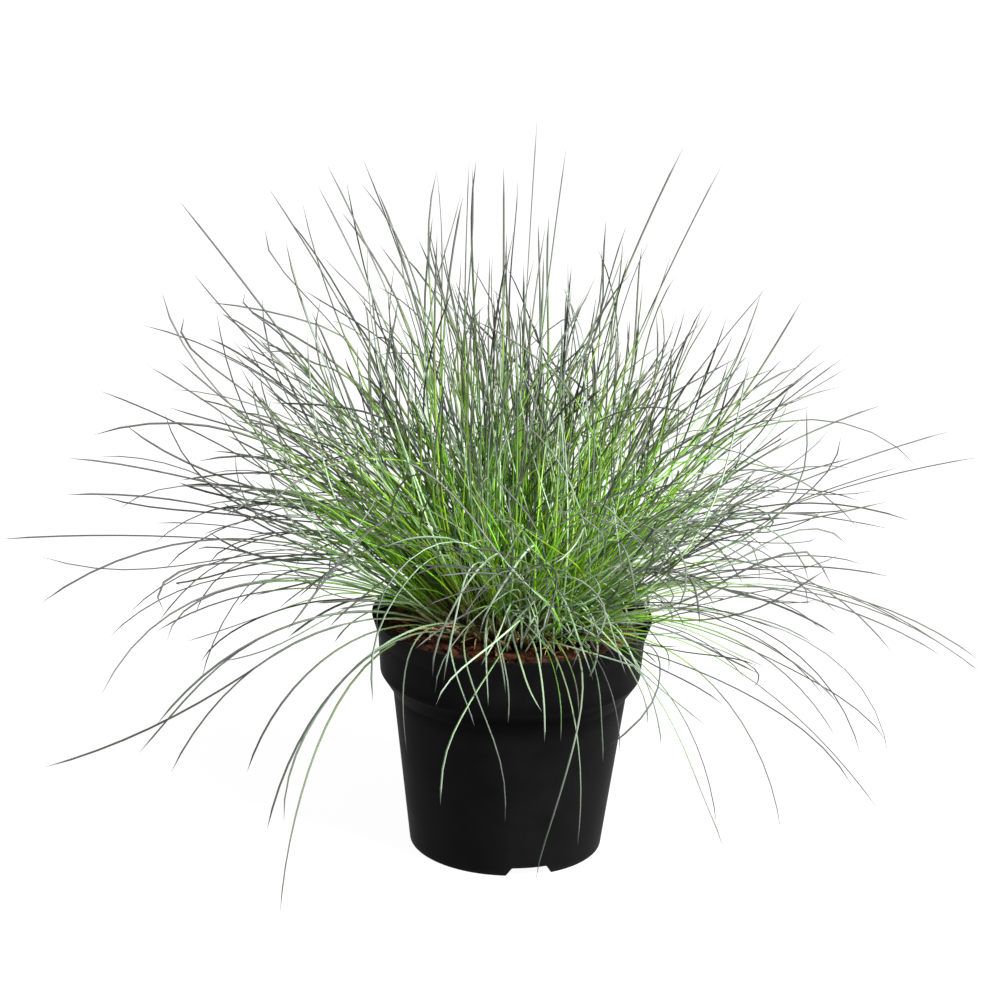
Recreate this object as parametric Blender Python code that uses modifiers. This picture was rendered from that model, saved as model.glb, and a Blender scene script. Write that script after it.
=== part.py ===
"""Potted blue fescue clump: a nursery pot, its potting mix, the crown and the tufts of leaves.

Metres, +Z up. The origin is on the pot's axis at the height of its foot, and the front is at -Y.
"""

import math

import bpy
from mathutils import Vector

# ---- pot ----
POT_HEIGHT = 0.147
LIP_RADIUS = 0.085
COLLAR_TOP_RADIUS = 0.0808
COLLAR_FOOT_RADIUS = 0.0792
BODY_TOP_RADIUS = 0.0712
FOOT_RADIUS = 0.0588
LIP_DROP = 0.013
COLLAR_DROP = 0.036
STEP_DROP = 0.048
WALL = 0.0013
FOOT_WIDTH = 0.0025
FLOOR_LIFT = 0.0065
FLOOR_THICKNESS = 0.0018
POT_STEPS = 60

# ---- drainage ----
NOTCH_COUNT = 3
NOTCH_HEADING = -75.0
NOTCH_FOOT_WIDTH = 0.0285
NOTCH_TOP_WIDTH = 0.0215
NOTCH_HEIGHT = 0.0053
NOTCH_DEPTH = 0.020
NOTCH_OVERCUT = 0.002
DRAIN_COUNT = 6
DRAIN_RADIUS = 0.005
DRAIN_CIRCLE = 0.040
DRAIN_CUT_LENGTH = 0.010

# ---- soil and crown ----
GAP = 0.0003
SOIL_EDGE_HEIGHT = 0.138
SOIL_HEIGHT = 0.141
SOIL_SHOULDER = 0.012
SOIL_STEPS = 48
CROWN_SPHERE = 0.046
CROWN_CENTRE_HEIGHT = 0.123
CROWN_STEPS = 32
CROWN_ARC_POINTS = 7

# ---- tufts: how many, and polar angles from straight up at the root and at the tip ----
TUFT_RADIUS = 0.0068
TUFT_POINTS = 10
TUFT_PROFILE = (0.58, 0.75, 0.9, 1.0, 1.0, 0.92, 0.78, 0.6, 0.38, 0.12)

CENTRE_TIP = 3.0
CENTRE_LENGTH = 0.278

UPRIGHT_COUNT = 6
UPRIGHT_ROOT = 20.0
UPRIGHT_TIPS = (26.0, 31.0)
UPRIGHT_LENGTHS = (0.262, 0.272)

LEANING_COUNT = 9
LEANING_ROOT = 40.0
LEANING_TIPS = (50.0, 62.0, 56.0)
LEANING_LENGTHS = (0.268, 0.248, 0.258)

SPREADING_COUNT = 12
SPREADING_ROOT = 60.0
SPREADING_TIPS = (86.0, 100.0, 80.0)
SPREADING_LENGTH = 0.228
SPREADING_EXTRA_SIDEWAYS = 0.0455

DROOPING_COUNT = 12
DROOPING_ROOT = 60.0
DROOPING_TIPS = (150.0, 162.0, 140.0, 155.0)
DROOPING_LENGTHS = (0.235, 0.215, 0.250, 0.205)
LONGEST_DROOPING = 7
LONGEST_DROOPING_TIP = 172.0
LONGEST_DROOPING_LENGTH = 0.315

# ---- how late a tuft bends: above 1 is mostly near its tip ----
STIFF_BEND = 1.25
SOFT_BEND = 1.0


def clear_scene():
    for ob in list(bpy.data.objects):
        bpy.data.objects.remove(ob)


def new_collection(name):
    found = bpy.data.collections.new(name)
    bpy.context.scene.collection.children.link(found)
    return found


def material(name, colour, roughness):
    made = bpy.data.materials.new(name)
    made.use_nodes = True
    shader = made.node_tree.nodes["Principled BSDF"]
    shader.inputs["Base Color"].default_value = (*colour, 1.0)
    shader.inputs["Roughness"].default_value = roughness
    shader.inputs["Metallic"].default_value = 0.0
    return made


def turned(name, profile, steps, collection, mat):
    """A solid of revolution from a profile of (radius, height) points."""
    mesh = bpy.data.meshes.new(name)
    points = [(radius, 0.0, height) for radius, height in profile]
    edges = [(i, i + 1) for i in range(len(points) - 1)]
    mesh.from_pydata(points, edges, [])
    ob = bpy.data.objects.new(name, mesh)
    collection.objects.link(ob)
    screw = ob.modifiers.new("turn", "SCREW")
    screw.axis = "Z"
    screw.angle = math.tau
    screw.steps = steps
    screw.render_steps = steps
    screw.use_merge_vertices = True
    screw.merge_threshold = 0.00005
    screw.use_smooth_shade = True
    mesh.materials.append(mat)
    return ob


def wall_radius(height):
    """The outer radius of the pot's wall at a height, below the lip."""
    stations = (
        (0.0, FOOT_RADIUS),
        (POT_HEIGHT - STEP_DROP, BODY_TOP_RADIUS),
        (POT_HEIGHT - COLLAR_DROP, COLLAR_FOOT_RADIUS),
        (POT_HEIGHT - LIP_DROP, COLLAR_TOP_RADIUS),
        (POT_HEIGHT, LIP_RADIUS),
    )
    for (low, inner), (high, outer) in zip(stations, stations[1:]):
        if height <= high:
            return inner + (outer - inner) * (height - low) / (high - low)
    return LIP_RADIUS


def heights_between(low, high):
    """The pot's own corners between two heights, lowest first, with both ends."""
    corners = (POT_HEIGHT - STEP_DROP, POT_HEIGHT - COLLAR_DROP, POT_HEIGHT - LIP_DROP)
    return [low, *[z for z in corners if low < z < high], high]


def pot_profile():
    floor_top = FLOOR_LIFT + FLOOR_THICKNESS
    inside = [(wall_radius(z) - WALL, z) for z in heights_between(floor_top, POT_HEIGHT)]
    outside = [(wall_radius(z), z) for z in reversed(heights_between(0.0, POT_HEIGHT))]
    foot = [(FOOT_RADIUS - FOOT_WIDTH, 0.0), (FOOT_RADIUS - FOOT_WIDTH, FLOOR_LIFT)]
    return [(0.0, floor_top), *inside, *outside, *foot, (0.0, FLOOR_LIFT)]


def notch_cutter(index, collection):
    """A block that is narrower at the top, across the foot of the wall."""
    heading = math.radians(NOTCH_HEADING + 360.0 * index / NOTCH_COUNT)
    bpy.ops.mesh.primitive_cube_add(size=1.0)
    ob = bpy.context.object
    ob.name = f"notch_cutter_{index + 1}"
    slope = (NOTCH_FOOT_WIDTH - NOTCH_TOP_WIDTH) / NOTCH_HEIGHT
    for vertex in ob.data.vertices:
        top = vertex.co.z > 0.0
        width = NOTCH_TOP_WIDTH if top else NOTCH_FOOT_WIDTH + slope * NOTCH_OVERCUT
        vertex.co.x = FOOT_RADIUS + NOTCH_DEPTH * vertex.co.x
        vertex.co.y = width * vertex.co.y
        vertex.co.z = NOTCH_HEIGHT if top else -NOTCH_OVERCUT
    ob.rotation_euler.z = heading
    hide_cutter(ob, collection)
    return ob


def drain_cutter(index, collection):
    heading = math.tau * (index + 0.5) / DRAIN_COUNT
    bpy.ops.mesh.primitive_cylinder_add(vertices=12, radius=DRAIN_RADIUS, depth=DRAIN_CUT_LENGTH)
    ob = bpy.context.object
    ob.name = f"drain_cutter_{index + 1}"
    ob.location = (DRAIN_CIRCLE * math.cos(heading), DRAIN_CIRCLE * math.sin(heading), FLOOR_LIFT)
    hide_cutter(ob, collection)
    return ob


def hide_cutter(ob, collection):
    for other in list(ob.users_collection):
        other.objects.unlink(ob)
    collection.objects.link(ob)
    ob.hide_render = True
    ob.display_type = "WIRE"


def cut(ob, cutters):
    for cutter in cutters:
        boolean = ob.modifiers.new(cutter.name, "BOOLEAN")
        boolean.operation = "DIFFERENCE"
        boolean.solver = "EXACT"
        boolean.object = cutter


def make_pot(parts, cutters):
    mat = material("pot_plastic", (0.012, 0.012, 0.013), 0.55)
    pot = turned("pot", pot_profile(), POT_STEPS, parts, mat)
    notches = [notch_cutter(i, cutters) for i in range(NOTCH_COUNT)]
    drains = [drain_cutter(i, cutters) for i in range(DRAIN_COUNT)]
    cut(pot, notches + drains)


def make_potting_mix(parts):
    """The plug of bark and peat that fills the pot, a little domed at the top."""
    low = FLOOR_LIFT + FLOOR_THICKNESS + GAP
    inset = WALL + 1.35 * GAP
    sides = [(wall_radius(z) - inset, z) for z in reversed(heights_between(low, SOIL_EDGE_HEIGHT))]
    shoulder = (sides[0][0] - SOIL_SHOULDER, SOIL_HEIGHT)
    profile = [(0.0, SOIL_HEIGHT), shoulder, *sides, (0.0, low)]
    mat = material("potting_mix", (0.045, 0.022, 0.014), 0.95)
    turned("potting_mix", profile, SOIL_STEPS, parts, mat)


def make_crown(parts):
    """The mound of packed leaf sheaths, a cap of a sphere that stands on the potting mix."""
    foot = SOIL_HEIGHT + GAP
    reach = math.acos((foot - CROWN_CENTRE_HEIGHT) / CROWN_SPHERE)
    angles = [reach * i / (CROWN_ARC_POINTS - 1) for i in range(CROWN_ARC_POINTS)]
    arc = [
        (CROWN_SPHERE * math.sin(a), CROWN_CENTRE_HEIGHT + CROWN_SPHERE * math.cos(a))
        for a in angles
    ]
    mat = material("crown_sheaths", (0.30, 0.27, 0.10), 0.8)
    turned("crown", [*arc, (0.0, foot)], CROWN_STEPS, parts, mat)


def direction(polar, heading):
    up, round_z = math.radians(polar), math.radians(heading)
    return Vector((math.sin(up) * math.cos(round_z), math.sin(up) * math.sin(round_z), math.cos(up)))


def tuft_path(heading, root, tip, length, bend):
    """Points along a tuft, which leaves the crown square to it and bends over towards its tip."""
    at = Vector((0.0, 0.0, CROWN_CENTRE_HEIGHT)) + (CROWN_SPHERE + 2 * GAP) * direction(root, heading)
    points = [at.copy()]
    step = length / (TUFT_POINTS - 1)
    for i in range(TUFT_POINTS - 1):
        along = (i + 0.5) / (TUFT_POINTS - 1)
        polar = root + (tip - root) * along**bend
        at = at + step * direction(polar, heading)
        points.append(at.copy())
    return points


def make_tuft(name, heading, root, tip, length, bend, parts, mat):
    curve = bpy.data.curves.new(name, "CURVE")
    curve.dimensions = "3D"
    curve.bevel_depth = TUFT_RADIUS
    curve.bevel_resolution = 2
    curve.use_fill_caps = True
    spline = curve.splines.new("POLY")
    path = tuft_path(heading, root, tip, length, bend)
    spline.points.add(len(path) - 1)
    for point, place, share in zip(spline.points, path, TUFT_PROFILE):
        point.co = (*place, 1.0)
        point.radius = share
    curve.materials.append(mat)
    parts.objects.link(bpy.data.objects.new(name, curve))


def make_ring(name, count, offset, shape, parts, mat):
    """A ring of tufts about the crown. shape gives each one's root, tip and length from its number and heading."""
    for i in range(count):
        heading = offset + 360.0 * i / count
        root, tip, length, bend = shape(i, heading)
        make_tuft(f"{name}_{i + 1}", heading, root, tip, length, bend, parts, mat)


def upright(i, heading):
    tip = UPRIGHT_TIPS[i % len(UPRIGHT_TIPS)]
    return UPRIGHT_ROOT, tip, UPRIGHT_LENGTHS[i % len(UPRIGHT_LENGTHS)], STIFF_BEND


def leaning(i, heading):
    tip = LEANING_TIPS[i % len(LEANING_TIPS)]
    return LEANING_ROOT, tip, LEANING_LENGTHS[i % len(LEANING_LENGTHS)], STIFF_BEND


def spreading(i, heading):
    tip = SPREADING_TIPS[i % len(SPREADING_TIPS)]
    sideways = math.cos(math.radians(heading)) ** 2
    return SPREADING_ROOT, tip, SPREADING_LENGTH + SPREADING_EXTRA_SIDEWAYS * sideways, STIFF_BEND


def drooping(i, heading):
    tip = DROOPING_TIPS[i % len(DROOPING_TIPS)]
    length = DROOPING_LENGTHS[i % len(DROOPING_LENGTHS)]
    if i == LONGEST_DROOPING:
        tip = LONGEST_DROOPING_TIP
        length = LONGEST_DROOPING_LENGTH
    return DROOPING_ROOT, tip, length, SOFT_BEND


def make_tufts(parts):
    core = material("leaves_upright", (0.16, 0.36, 0.08), 0.6)
    outer = material("leaves_outer", (0.20, 0.30, 0.16), 0.6)
    make_tuft("tuft_centre", 0.0, 0.0, CENTRE_TIP, CENTRE_LENGTH, STIFF_BEND, parts, core)
    make_ring("tuft_upright", UPRIGHT_COUNT, 15.0, upright, parts, core)
    make_ring("tuft_leaning", LEANING_COUNT, 10.0, leaning, parts, core)
    make_ring("tuft_spreading", SPREADING_COUNT, 0.0, spreading, parts, outer)
    make_ring("tuft_drooping", DROOPING_COUNT, 15.0, drooping, parts, outer)


def main():
    clear_scene()
    parts = new_collection("potted_blue_fescue_clump")
    cutters = new_collection("cutters")
    make_pot(parts, cutters)
    make_potting_mix(parts)
    make_crown(parts)
    make_tufts(parts)


main()
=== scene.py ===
# %% [markdown]
# # A blue fescue in its nursery pot
#
# Blue fescue is a small clump-forming grass for borders and patio pots. It is sold as a tuft of needle-thin
# leaves in a black plastic pot. The clump is over half a metre across and its leaves are about a millimetre
# wide, so almost all of the work is in growing a thousand leaves that look alike and yet all differ.
#
# The plain solids of the pot, the potting mix, the crown and forty tufts are loaded first. They fix where
# everything is. Each of them is then replaced by a finer piece in the same place.

# %% Load the frame
import math

import bpy
import numpy as np
from mathutils import Euler, Matrix, Vector


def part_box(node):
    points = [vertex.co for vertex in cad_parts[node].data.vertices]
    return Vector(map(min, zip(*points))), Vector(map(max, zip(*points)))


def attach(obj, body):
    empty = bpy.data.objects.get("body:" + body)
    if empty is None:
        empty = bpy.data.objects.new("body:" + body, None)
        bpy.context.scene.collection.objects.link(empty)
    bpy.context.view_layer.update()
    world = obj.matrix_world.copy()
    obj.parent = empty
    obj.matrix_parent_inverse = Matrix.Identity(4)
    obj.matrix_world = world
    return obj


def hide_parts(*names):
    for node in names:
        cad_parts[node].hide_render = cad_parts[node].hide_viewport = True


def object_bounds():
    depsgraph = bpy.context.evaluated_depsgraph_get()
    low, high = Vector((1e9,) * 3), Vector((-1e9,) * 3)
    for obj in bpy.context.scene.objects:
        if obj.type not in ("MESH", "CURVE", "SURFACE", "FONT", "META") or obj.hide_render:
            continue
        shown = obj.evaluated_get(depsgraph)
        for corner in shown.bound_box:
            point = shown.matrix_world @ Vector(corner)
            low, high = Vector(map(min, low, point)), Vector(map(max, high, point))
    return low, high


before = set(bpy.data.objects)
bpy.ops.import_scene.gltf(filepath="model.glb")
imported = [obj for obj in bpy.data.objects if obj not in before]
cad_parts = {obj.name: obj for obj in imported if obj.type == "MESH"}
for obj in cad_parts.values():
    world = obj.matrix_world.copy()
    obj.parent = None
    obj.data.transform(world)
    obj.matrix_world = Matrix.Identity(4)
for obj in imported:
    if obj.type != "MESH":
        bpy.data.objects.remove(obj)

cad_box = [list(corner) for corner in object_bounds()]
print("solids:", len(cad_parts), "box:", [[round(v, 3) for v in corner] for corner in cad_box])

# %% [markdown]
# The object is seen from a little above, as a person sees a pot on a shelf. A long lens keeps the pot's
# sides almost parallel. The camera stands two metres back, looks down by eighteen degrees, and is rolled by
# less than two, so it is built from three turns: the pitch and yaw in world axes, then the roll about its
# own line of sight.

# %% Camera
CAMERA_PLACE = (0.0, -1.9194, 0.8496)
CAMERA_LENS = 121.5
CAMERA_PITCH = 18.19
CAMERA_YAW = -0.28
CAMERA_ROLL = 1.72

camera_data = bpy.data.cameras.new("camera")
camera_data.lens = CAMERA_LENS
camera_data.clip_end = 50.0
camera = bpy.data.objects.new("camera", camera_data)
bpy.context.scene.collection.objects.link(camera)
aim = Euler((math.radians(90.0 - CAMERA_PITCH), 0.0, math.radians(-CAMERA_YAW))).to_matrix().to_4x4()
roll = Matrix.Rotation(math.radians(CAMERA_ROLL), 4, "Z")
camera.matrix_world = Matrix.Translation(CAMERA_PLACE) @ aim @ roll
bpy.context.scene.camera = camera
print("camera at", CAMERA_PLACE)

# %% [markdown]
# Operators act on whatever is selected, and loading leaves the solids selected. So a few small helpers come
# first. They clear the selection, go in and out of edit mode, extrude a cap upwards, select by a test on
# each vertex or face, and finish an object by putting its place into its mesh.

# %% Helpers for modelling
def deselect_all():
    for ob in list(bpy.context.selected_objects):
        ob.select_set(False)


def only(ob):
    """Makes ob the one selected and active object."""
    deselect_all()
    ob.select_set(True)
    bpy.context.view_layer.objects.active = ob


def named(name):
    """Names the object that an operator has just added."""
    ob = bpy.context.object
    ob.name = name
    ob.data.name = name
    return ob


def start_edit():
    """Goes into edit mode, with every vertex selected."""
    bpy.ops.object.mode_set(mode="EDIT")
    bpy.ops.mesh.select_mode(type="VERT")
    bpy.ops.mesh.select_all(action="SELECT")


def end_edit(turn_outwards=False):
    """Leaves edit mode. If asked, it first turns every face outwards."""
    if turn_outwards:
        bpy.ops.mesh.select_all(action="SELECT")
        bpy.ops.mesh.normals_make_consistent(inside=False)
    bpy.ops.object.mode_set(mode="OBJECT")


def extrude_up(rise, narrow):
    """In edit mode, extrudes the selected cap by a height and scales it sideways."""
    bpy.ops.mesh.extrude_region_move(TRANSFORM_OT_translate={"value": (0.0, 0.0, rise)})
    bpy.ops.transform.resize(value=(narrow, narrow, 1.0))


def choose(ob, test, kind="VERT"):
    """In edit mode, selects the vertices or faces that pass a test."""
    bpy.ops.mesh.select_mode(type=kind)
    bpy.ops.mesh.select_all(action="DESELECT")
    bpy.ops.object.mode_set(mode="OBJECT")
    elements = ob.data.vertices if kind == "VERT" else ob.data.polygons
    for element in elements:
        element.select = bool(test(element))
    bpy.ops.object.mode_set(mode="EDIT")


def apply_modifiers(ob):
    only(ob)
    for modifier in list(ob.modifiers):
        bpy.ops.object.modifier_apply(modifier=modifier.name)


def place_into_mesh(ob):
    only(ob)
    bpy.ops.object.transform_apply(location=True, rotation=True, scale=True)


def remove(ob):
    mesh = ob.data
    bpy.data.objects.remove(ob)
    bpy.data.meshes.remove(mesh)


def report(ob):
    mesh = ob.data
    triangles = sum(len(face.vertices) - 2 for face in mesh.polygons)
    print(f"{ob.name}: {len(mesh.vertices)} vertices, {triangles} triangles")


deselect_all()
print("helpers ready, nothing selected")

# %% [markdown]
# Materials are built from nodes. Some helpers keep that short: they add a node and set its sockets, link
# two sockets, do sums, make a colour ramp from a list of stops, and finish a shader with its colour,
# roughness and bump. Colours are linear values, so 0.2 is a middle grey.

# %% Helpers for materials
def add_node(tree, kind, settings=None, **sockets):
    """A node with its settings and its unlinked sockets. A socket's name has _ for a space."""
    made = tree.nodes.new(kind)
    for key, value in (settings or {}).items():
        setattr(made, key, value)
    for key, value in sockets.items():
        made.inputs[key.replace("_", " ")].default_value = value
    return made


def link(tree, start, end):
    tree.links.new(start, end)


def maths(tree, operation, first, second=0.0, third=None):
    """A Math node. Each value is a number or another node's socket."""
    made = tree.nodes.new("ShaderNodeMath")
    made.operation = operation
    for index, value in enumerate((first, second, third)):
        if value is None:
            continue
        if isinstance(value, (int, float)):
            made.inputs[index].default_value = value
        else:
            link(tree, value, made.inputs[index])
    return made.outputs[0]


def ramp(tree, value, stops):
    """A colour ramp over a socket. Each stop is a position and a colour."""
    made = tree.nodes.new("ShaderNodeValToRGB")
    ends = made.color_ramp.elements
    ends[0].position, ends[0].color = stops[0][0], (*stops[0][1], 1.0)
    ends[1].position, ends[1].color = stops[-1][0], (*stops[-1][1], 1.0)
    for position, colour in stops[1:-1]:
        ends.new(position).color = (*colour, 1.0)
    link(tree, value, made.inputs["Fac"])
    return made.outputs["Color"]


def blend(tree, amount, first, second):
    """A colour mix. The amount and colours are values or sockets."""
    made = tree.nodes.new("ShaderNodeMix")
    made.data_type = "RGBA"
    sockets = zip((made.inputs[0], made.inputs[6], made.inputs[7]), (amount, first, second))
    for socket, value in sockets:
        if isinstance(value, (int, float)):
            socket.default_value = value
        elif isinstance(value, tuple):
            socket.default_value = (*value, 1.0)
        else:
            link(tree, value, socket)
    return made.outputs[2]


def new_material(name, roughness=0.6):
    """A material with one Principled shader, returned with its tree and shader."""
    made = bpy.data.materials.new(name)
    made.use_nodes = True
    shader = made.node_tree.nodes["Principled BSDF"]
    shader.inputs["Roughness"].default_value = roughness
    return made, made.node_tree, shader


def new_group(name, inputs, outputs):
    """An empty shader group with named sockets: each is a name, a kind and, for inputs, a value."""
    tree = bpy.data.node_groups.new(name, "ShaderNodeTree")
    for label, kind, value in inputs:
        socket = tree.interface.new_socket(label, in_out="INPUT", socket_type=kind)
        socket.default_value = value
    for label, kind in outputs:
        tree.interface.new_socket(label, in_out="OUTPUT", socket_type=kind)
    return tree, tree.nodes.new("NodeGroupInput"), tree.nodes.new("NodeGroupOutput")


def use_group(tree, group, **sockets):
    """A group placed in a material with its own values."""
    return add_node(tree, "ShaderNodeGroup", {"node_tree": group}, **sockets)


def object_axes(tree):
    """The object's own coordinates, as a vector and split into X, Y and Z."""
    place = tree.nodes.new("ShaderNodeTexCoord").outputs["Object"]
    split = tree.nodes.new("ShaderNodeSeparateXYZ")
    link(tree, place, split.inputs[0])
    return place, split.outputs


def finish_shader(tree, shader, colour, roughness, relief, strength, depth):
    """Links a colour, a roughness and a bumped normal to the shader."""
    link(tree, colour, shader.inputs["Base Color"])
    link(tree, roughness, shader.inputs["Roughness"])
    bump = add_node(tree, "ShaderNodeBump", Strength=strength, Distance=depth)
    link(tree, relief, bump.inputs["Height"])
    link(tree, bump.outputs["Normal"], shader.inputs["Normal"])


print("material helpers ready")

# %% [markdown]
# The pot, the bark and the sheaths are all speckled, each at its own scale. So the speckle is one group,
# placed in each material with its own values. It puts out a soft cloud, a fine grain and a height for the
# bump.

# %% Group: speckle
def make_speckle_group():
    inputs = (
        ("Cloud Scale", "NodeSocketFloat", 30.0),
        ("Grain Scale", "NodeSocketFloat", 900.0),
        ("Contrast", "NodeSocketFloat", 1.5),
    )
    outputs = [(label, "NodeSocketFloat") for label in ("Cloud", "Grain", "Height")]
    tree, start, end = new_group("speckle", inputs, outputs)
    place = tree.nodes.new("ShaderNodeTexCoord").outputs["Object"]
    cloud = add_node(tree, "ShaderNodeTexNoise", Detail=4.0, Roughness=0.6)
    grain = add_node(tree, "ShaderNodeTexNoise", Detail=3.0, Roughness=0.55)
    for texture, label in ((cloud, "Cloud"), (grain, "Grain")):
        link(tree, place, texture.inputs["Vector"])
        link(tree, start.outputs[label + " Scale"], texture.inputs["Scale"])
        centred = maths(tree, "SUBTRACT", texture.outputs["Fac"], 0.5)
        stretched = maths(tree, "MULTIPLY", centred, start.outputs["Contrast"])
        link(tree, maths(tree, "ADD", stretched, 0.5), end.inputs[label])
    height = maths(tree, "MULTIPLY_ADD", grain.outputs["Fac"], 0.6, cloud.outputs["Fac"])
    link(tree, height, end.inputs["Height"])
    return tree


speckle = make_speckle_group()
print("group made:", speckle.name)

# %% [markdown]
# ## The pot
#
# A nursery pot is a thin shell of black polypropylene, moulded in one shot. It has a flared lip, a straight
# collar that lets pots stack, a step, a tapering body, a foot ring with three notches so that water can run
# away, and a raised floor with drain holes. A turned shape starts well as a ring that is drawn through its
# outline: the ring is extruded, moved and scaled once per corner. A bevel then rounds the moulded corners,
# and blocks and rods cut the notches and the holes.

# %% Pot sizes, read from the solid
pot_low, pot_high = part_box("pot")
POT_HEIGHT = pot_high.z
LIP_RADIUS = (pot_high.x - pot_low.x) / 2
WALL = 0.0013
LIP_DROP = 0.013
COLLAR_DROP = 0.036
STEP_DROP = 0.048
COLLAR_TOP_RADIUS = LIP_RADIUS - 0.0042
COLLAR_FOOT_RADIUS = LIP_RADIUS - 0.0058
BODY_TOP_RADIUS = LIP_RADIUS - 0.0138
FOOT_RADIUS = LIP_RADIUS - 0.0262
FOOT_WIDTH = 0.0025
FLOOR_LIFT = 0.0065
FLOOR_THICKNESS = 0.0018
FLOOR_TAPER = 0.0011
POT_SIDES = 144
print(f"pot {POT_HEIGHT * 1000:.0f} mm high, lip radius {LIP_RADIUS * 1000:.1f} mm")


# %% Draw a ring through an outline
def draw_ring(name, outline, sides):
    """A turned shell: a ring at the first (radius, height), extruded to each next one, then capped."""
    radius, height = outline[0]
    bpy.ops.mesh.primitive_circle_add(vertices=sides, radius=radius, location=(0.0, 0.0, height))
    ob = named(name)
    start_edit()
    bpy.ops.mesh.edge_face_add()
    for next_radius, next_height in outline[1:]:
        extrude_up(next_height - height, next_radius / radius)
        radius, height = next_radius, next_height
    end_edit(turn_outwards=True)
    place_into_mesh(ob)
    return ob


def pot_outline():
    """From under the floor, round the foot, up the outside, over the lip and down the inside."""
    outside = [
        (FOOT_RADIUS, 0.0),
        (BODY_TOP_RADIUS, POT_HEIGHT - STEP_DROP),
        (COLLAR_FOOT_RADIUS, POT_HEIGHT - COLLAR_DROP),
        (COLLAR_TOP_RADIUS, POT_HEIGHT - LIP_DROP),
        (LIP_RADIUS, POT_HEIGHT),
    ]
    inside = [(radius - WALL, height) for radius, height in reversed(outside[1:])]
    floor_top = FLOOR_LIFT + FLOOR_THICKNESS
    floor_edge = FOOT_RADIUS - WALL + FLOOR_TAPER
    foot = [(FOOT_RADIUS - FOOT_WIDTH, FLOOR_LIFT), (FOOT_RADIUS - FOOT_WIDTH, 0.0)]
    return [*foot, *outside, *inside, (floor_edge, floor_top)]


pot = draw_ring("nursery_pot", pot_outline(), POT_SIDES)
report(pot)

# %% Round the moulded corners
CORNER_RADIUS = 0.0006
SHARPEST_LEFT = 12.0
bevel = pot.modifiers.new("moulded_corners", "BEVEL")
bevel.width = CORNER_RADIUS
bevel.segments = 3
bevel.limit_method = "ANGLE"
bevel.angle_limit = math.radians(SHARPEST_LEFT)
apply_modifiers(pot)
report(pot)

# %% [markdown]
# The notches are wedge-shaped: narrower at the top, so that the pot leaves its mould. One block is shaped
# by scaling its top face, copied to three headings and cut away. The drain holes are cut with round rods.

# %% Cut the notches and the drain holes
NOTCH_COUNT = 3
NOTCH_HEADING = -75.0
NOTCH_FOOT_WIDTH = 0.0285
NOTCH_TOP_WIDTH = 0.0215
NOTCH_HEIGHT = 0.0053
NOTCH_DEPTH = 0.02
NOTCH_ROUNDING = 0.0008
CUT_CLEARANCE = 0.002
DRAIN_COUNT = 6
DRAIN_RADIUS = 0.005
DRAIN_CIRCLE = 0.040
DRAIN_ROD_LENGTH = 0.01
SMOOTH_ANGLE = 30.0


def notch_block():
    """A block through the foot ring at heading 0, with its lower face below the ground."""
    tall = NOTCH_HEIGHT + CUT_CLEARANCE
    place = (FOOT_RADIUS, 0.0, NOTCH_HEIGHT - tall / 2)
    bpy.ops.mesh.primitive_cube_add(size=1.0, location=place)
    ob = named("notch_block")
    flare = (NOTCH_FOOT_WIDTH - NOTCH_TOP_WIDTH) / NOTCH_HEIGHT * CUT_CLEARANCE
    ob.scale = (NOTCH_DEPTH, NOTCH_FOOT_WIDTH + flare, tall)
    place_into_mesh(ob)
    start_edit()
    choose(ob, lambda face: face.normal.z > 0.5, "FACE")
    bpy.ops.transform.resize(value=(1.0, NOTCH_TOP_WIDTH / (NOTCH_FOOT_WIDTH + flare), 1.0))
    start_edit()
    bpy.ops.mesh.bevel(offset=NOTCH_ROUNDING, segments=3, affect="EDGES")
    end_edit()
    return ob


def copy_turned(ob, name, heading):
    """A copy of ob with its own mesh, turned about the pot's axis."""
    made = bpy.data.objects.new(name, ob.data.copy())
    bpy.context.scene.collection.objects.link(made)
    made.data.transform(Matrix.Rotation(math.radians(heading), 4, "Z"))
    return made


cutters = []
block = notch_block()
for index in range(NOTCH_COUNT):
    heading = NOTCH_HEADING + 360.0 * index / NOTCH_COUNT
    cutters.append(copy_turned(block, f"notch_{index + 1}", heading))
remove(block)
for index in range(DRAIN_COUNT):
    angle = math.tau * (index + 0.5) / DRAIN_COUNT
    place = (DRAIN_CIRCLE * math.cos(angle), DRAIN_CIRCLE * math.sin(angle), FLOOR_LIFT)
    size = {"radius": DRAIN_RADIUS, "depth": DRAIN_ROD_LENGTH}
    bpy.ops.mesh.primitive_cylinder_add(vertices=24, location=place, **size)
    rod = named(f"drain_{index + 1}")
    place_into_mesh(rod)
    cutters.append(rod)
for cutter in cutters:
    cut = pot.modifiers.new(cutter.name, "BOOLEAN")
    cut.operation = "DIFFERENCE"
    cut.solver = "EXACT"
    cut.object = cutter
apply_modifiers(pot)
for cutter in cutters:
    remove(cutter)
only(pot)
bpy.ops.object.shade_smooth_by_angle(angle=math.radians(SMOOTH_ANGLE))
report(pot)

# %% [markdown]
# Black pot plastic is a carbon-filled recycled blend. It is almost black, matt, faintly cloudy, and has the
# fine grain of its steel mould. Handling leaves the lip, the collar's edge and the foot a little paler and
# smoother, and the step under the collar is darkened with painted shade. All of these are masks on height,
# and the rub marks are broken up by the speckle group's grain.

# %% Material: pot plastic
LIP_RUB = 0.0022
COLLAR_RUB = 0.0025
FOOT_RUB = 0.004
# The reach of the band of painted shade over the step under the collar.
PAINTED_SHADE_REACH = 0.016
PLASTIC_DARK = (0.0042, 0.0042, 0.0044)
PLASTIC_LIGHT = (0.0074, 0.0074, 0.0077)
PLASTIC_RUBBED = (0.012, 0.012, 0.0125)
# The colour of the painted shade over the step under the collar.
PLASTIC_PAINTED_SHADE = (0.0010, 0.0010, 0.0011)


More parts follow.
